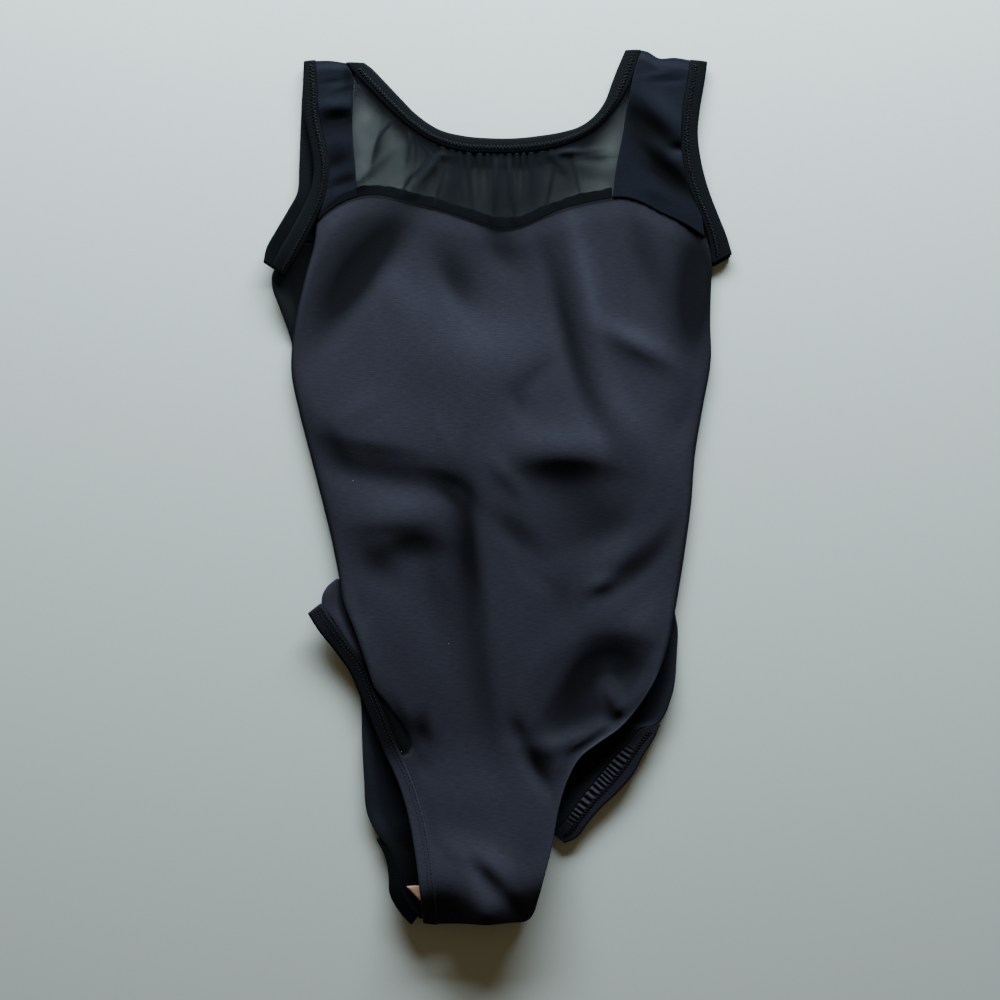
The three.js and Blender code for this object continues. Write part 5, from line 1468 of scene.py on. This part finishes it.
@dataclass
class Leotard:
    """The whole garment: its sheets, trims and sewing, put together in order.

    A sheet's flat size is its box times take_up, for the length that its folds take, and its area is at most most_area
    of that.
    """

    fabrics: Fabrics
    take_up: float = 1.01
    most_area: float = 0.999
    built: dict[str, Piece] = field(default_factory=dict)
    areas: dict[str, float] = field(default_factory=dict)
    bands: dict[str, Band] = field(default_factory=dict)

    def add(self, cloth: Cloth, slot: Dress, node: str) -> None:
        """Builds one sheet, dresses it and keeps its area."""
        self.built[node] = dress(cloth.build(), slot, node)
        self.areas[node] = cloth.area()

    def panels(self) -> None:
        """Builds every panel of cloth."""
        f, yoke = self.fabrics, Yoke()
        left = FrontShoulder("front_shoulder_left_cloth", SHOULDER_LEFT_SPAN, SHOULDER_LEFT_ARM, SHOULDER_LEFT_NECK,
                             SHOULDER_LEFT_TIP, columns=30, foot_tone=0.8)
        right = FrontShoulder("front_shoulder_right_cloth", SHOULDER_RIGHT_SPAN, SHOULDER_RIGHT_ARM,
                              SHOULDER_RIGHT_NECK, SHOULDER_RIGHT_TIP, columns=56)
        back_left = back_piece("back_shoulder_left_cloth", BACK_ARM_LEFT, BACK_NECK_LEFT, track(BACK_TIP_LEFT), KNIT,
                               f.inside, (20, 40))
        back_right = back_piece("back_shoulder_right_cloth", BACK_NECK_RIGHT, BACK_ARM_RIGHT, track(BACK_TIP_RIGHT),
                                KNIT, f.inside, (24, 40))
        sheets = {
            "front_body": (FrontBody().build(f), Dress.KNIT),
            "front_shoulder_left": (left.build(f), Dress.KNIT),
            "front_shoulder_right": (right.build(f), Dress.KNIT),
            "front_yoke": (yoke.front(f), Dress.NET),
            "back_yoke": (yoke.back(f), Dress.NET),
            "yoke_seam_allowance": (SeamAllowance().build(f), Dress.KNIT),
            "front_hip_fold": (HipFold().build(f), Dress.KNIT),
            "back_body": (BackBody().build(f), Dress.KNIT),
            "back_shoulder_left": (back_left, Dress.KNIT),
            "back_shoulder_right": (back_right, Dress.KNIT),
            "gusset_lining": (Gusset().build(f), Dress.LINING),
        }
        for node, (cloth, slot) in sheets.items():
            self.add(cloth, slot, node)

    def trims(self) -> None:
        """Builds every binding and hem."""
        knit, f, gathers = Dress.KNIT, self.fabrics, LegGathers()
        made = [
            Trim("neck_binding_front", Band(NECK_BAND, 300, crown=0.5), f.elastic),
            Trim("neck_binding_back", Band(laid(NECK_BAND), 120, inset=0.6), f.elastic, lies=True),
            Trim("armhole_binding_right_front", Band(ARM_BAND_RIGHT, 160, crown=0.4), f.elastic),
            Trim("armhole_binding_right_back", Band(laid(ARM_BAND_RIGHT), 80, inset=0.9, clear=0.3), f.elastic,
                 lies=True),
            Trim("armhole_binding_left_front", Band(ARM_BAND_LEFT, 160, crown=0.4), f.elastic),
            Trim("armhole_binding_left_back", Band(ARM_BAND_LEFT_BACK, 160, clear=0.6), f.elastic, lies=True),
            Trim("leg_hem_left_front", Band(HEM_LEFT_FRONT, 220, clear=0.1, lift=CURL.front, tone=HipShade()), f.body,
                 knit),
            Trim("leg_hem_left_back", Band(HEM_LEFT_BACK, 60, clear=-0.6, lift=CURL.back), f.elastic, knit, KNIT),
            Trim("leg_hem_right_back", Band(HEM_RIGHT_BACK, 420, across=14, clear=0.3, wave=gathers,
                                            tone=gathers.plain), f.body, wall=KNIT),
        ]
        for trim in made:
            self.add(trim.build(), trim.slot, trim.node)
            self.bands[trim.node] = trim.band

    def sewing(self) -> None:
        """Sews the bindings and hems."""
        thread, over, most = self.fabrics.thread, BAND / 2 + STITCH_LIFT, (0.02, 0.98)
        neck = self.bands["neck_binding_front"].path(0.6, over, *most, count=400)
        arms = {side: self.bands[f"armhole_binding_{side}_front"].path(0.68, over, *most) for side in ("left", "right")}
        hem = [self.bands["leg_hem_left_front"].path(share, over, 0.01, 0.97, count=200) for share in (0.62, 0.88)]
        leg = self.bands["leg_hem_right_back"].path(0.45, KNIT / 2 + 2 * STITCH_LIFT, 0.06, 0.97, count=300)
        seams = [
            Seam("neck_binding_zigzag", [neck], Stitch.ZIGZAG, thread, width=3.0),
            *(Seam(f"armhole_zigzag_{side}", [line], Stitch.ZIGZAG, thread) for side, line in arms.items()),
            Seam("hem_coverstitch_left", hem, Stitch.STRAIGHT, self.fabrics.hem_thread, width=2.1, thread=0.26),
            Seam("leg_zigzag_right", [leg], Stitch.ZIGZAG, thread, pitch=2.4, width=4.0, thread=0.18),
        ]
        for seam in seams:
            self.built[seam.name] = seam.build()


# ---------------------------------------------------------------- the studio


@dataclass
class Studio:
    """A plain pale floor, one soft light from above the shoulders, and the camera straight above."""

    camera_place: tuple[float, float, float] = (0.0015, -0.0103, 1.25)
    picture: float = 0.76
    sensor: float = 36.0
    floor_half: float = 3.0
    floor_level: float = -0.0004
    floor_color: Color = (0.60, 0.62, 0.59)
    floor_roughness: float = 0.75
    floor_specular: float = 0.25
    grain: float = 0.03
    grain_scale: float = 380.0
    key_place: tuple[float, float, float] = (0.03, 1.28, 0.35)
    key_size: tuple[float, float] = (1.5, 0.26)
    key_power: float = 108.0
    key_color: Color = (0.76, 0.92, 1.0)
    sky: tuple[float, float, float, float] = (1.0, 0.83, 0.48, 1.0)
    sky_strength: float = 0.09

    def floor(self) -> None:
        """A pale matt floor with a faint grain."""
        corners = ((-1, -1), (1, -1), (1, 1), (-1, 1))
        mesh = bpy.data.meshes.new("floor")
        mesh.from_pydata([(x * self.floor_half, y * self.floor_half, self.floor_level) for x, y in corners], [],
                         [(0, 1, 2, 3)])
        material, tree, shader = start_material("Pale floor")
        grain = tree.noise(tree.add("ShaderNodeTexCoord").outputs["Object"], self.grain_scale, 3.0)
        shade = tree.mul(grain, self.grain, 1 - self.grain / 2)
        tree.feed(shader, {"Base Color": tree.scaled(self.floor_color, shade), "Roughness": self.floor_roughness,
                           "Specular IOR Level": self.floor_specular})
        mesh.materials.append(material)
        put("floor", mesh)

    def lights(self) -> None:
        """The key light and the weak light of the room."""
        lamp = bpy.data.lights.new("key", "AREA")
        lamp.shape = "RECTANGLE"
        lamp.size, lamp.size_y = self.key_size
        lamp.energy = self.key_power
        lamp.color = self.key_color
        key = put("key", lamp)
        key.location = self.key_place
        key.rotation_euler = (-Vector(self.key_place)).to_track_quat("-Z", "Y").to_euler()
        world = bpy.data.worlds.new("room")
        world.use_nodes = True
        back = world.node_tree.nodes["Background"]
        back.inputs[0].default_value = self.sky
        back.inputs[1].default_value = self.sky_strength
        bpy.context.scene.world = world

    def camera(self) -> None:
        """The camera, looking straight down at the picture's scale."""
        lens = bpy.data.cameras.new("camera")
        lens.sensor_width = self.sensor
        lens.lens = self.sensor * self.camera_place[2] / self.picture
        camera = put("camera", lens)
        camera.location = self.camera_place
        bpy.context.scene.camera = camera

    def build(self) -> None:
        """Sets up floor, lights and camera."""
        self.floor()
        self.lights()
        self.camera()


def main() -> None:
    """Builds the studio and the leotard."""
    logging.basicConfig(level=logging.INFO, format="%(message)s")
    Studio().build()
    leotard = Leotard(Fabrics.woven())
    leotard.panels()
    leotard.trims()
    leotard.sewing()


if __name__ == "__main__":
    main()
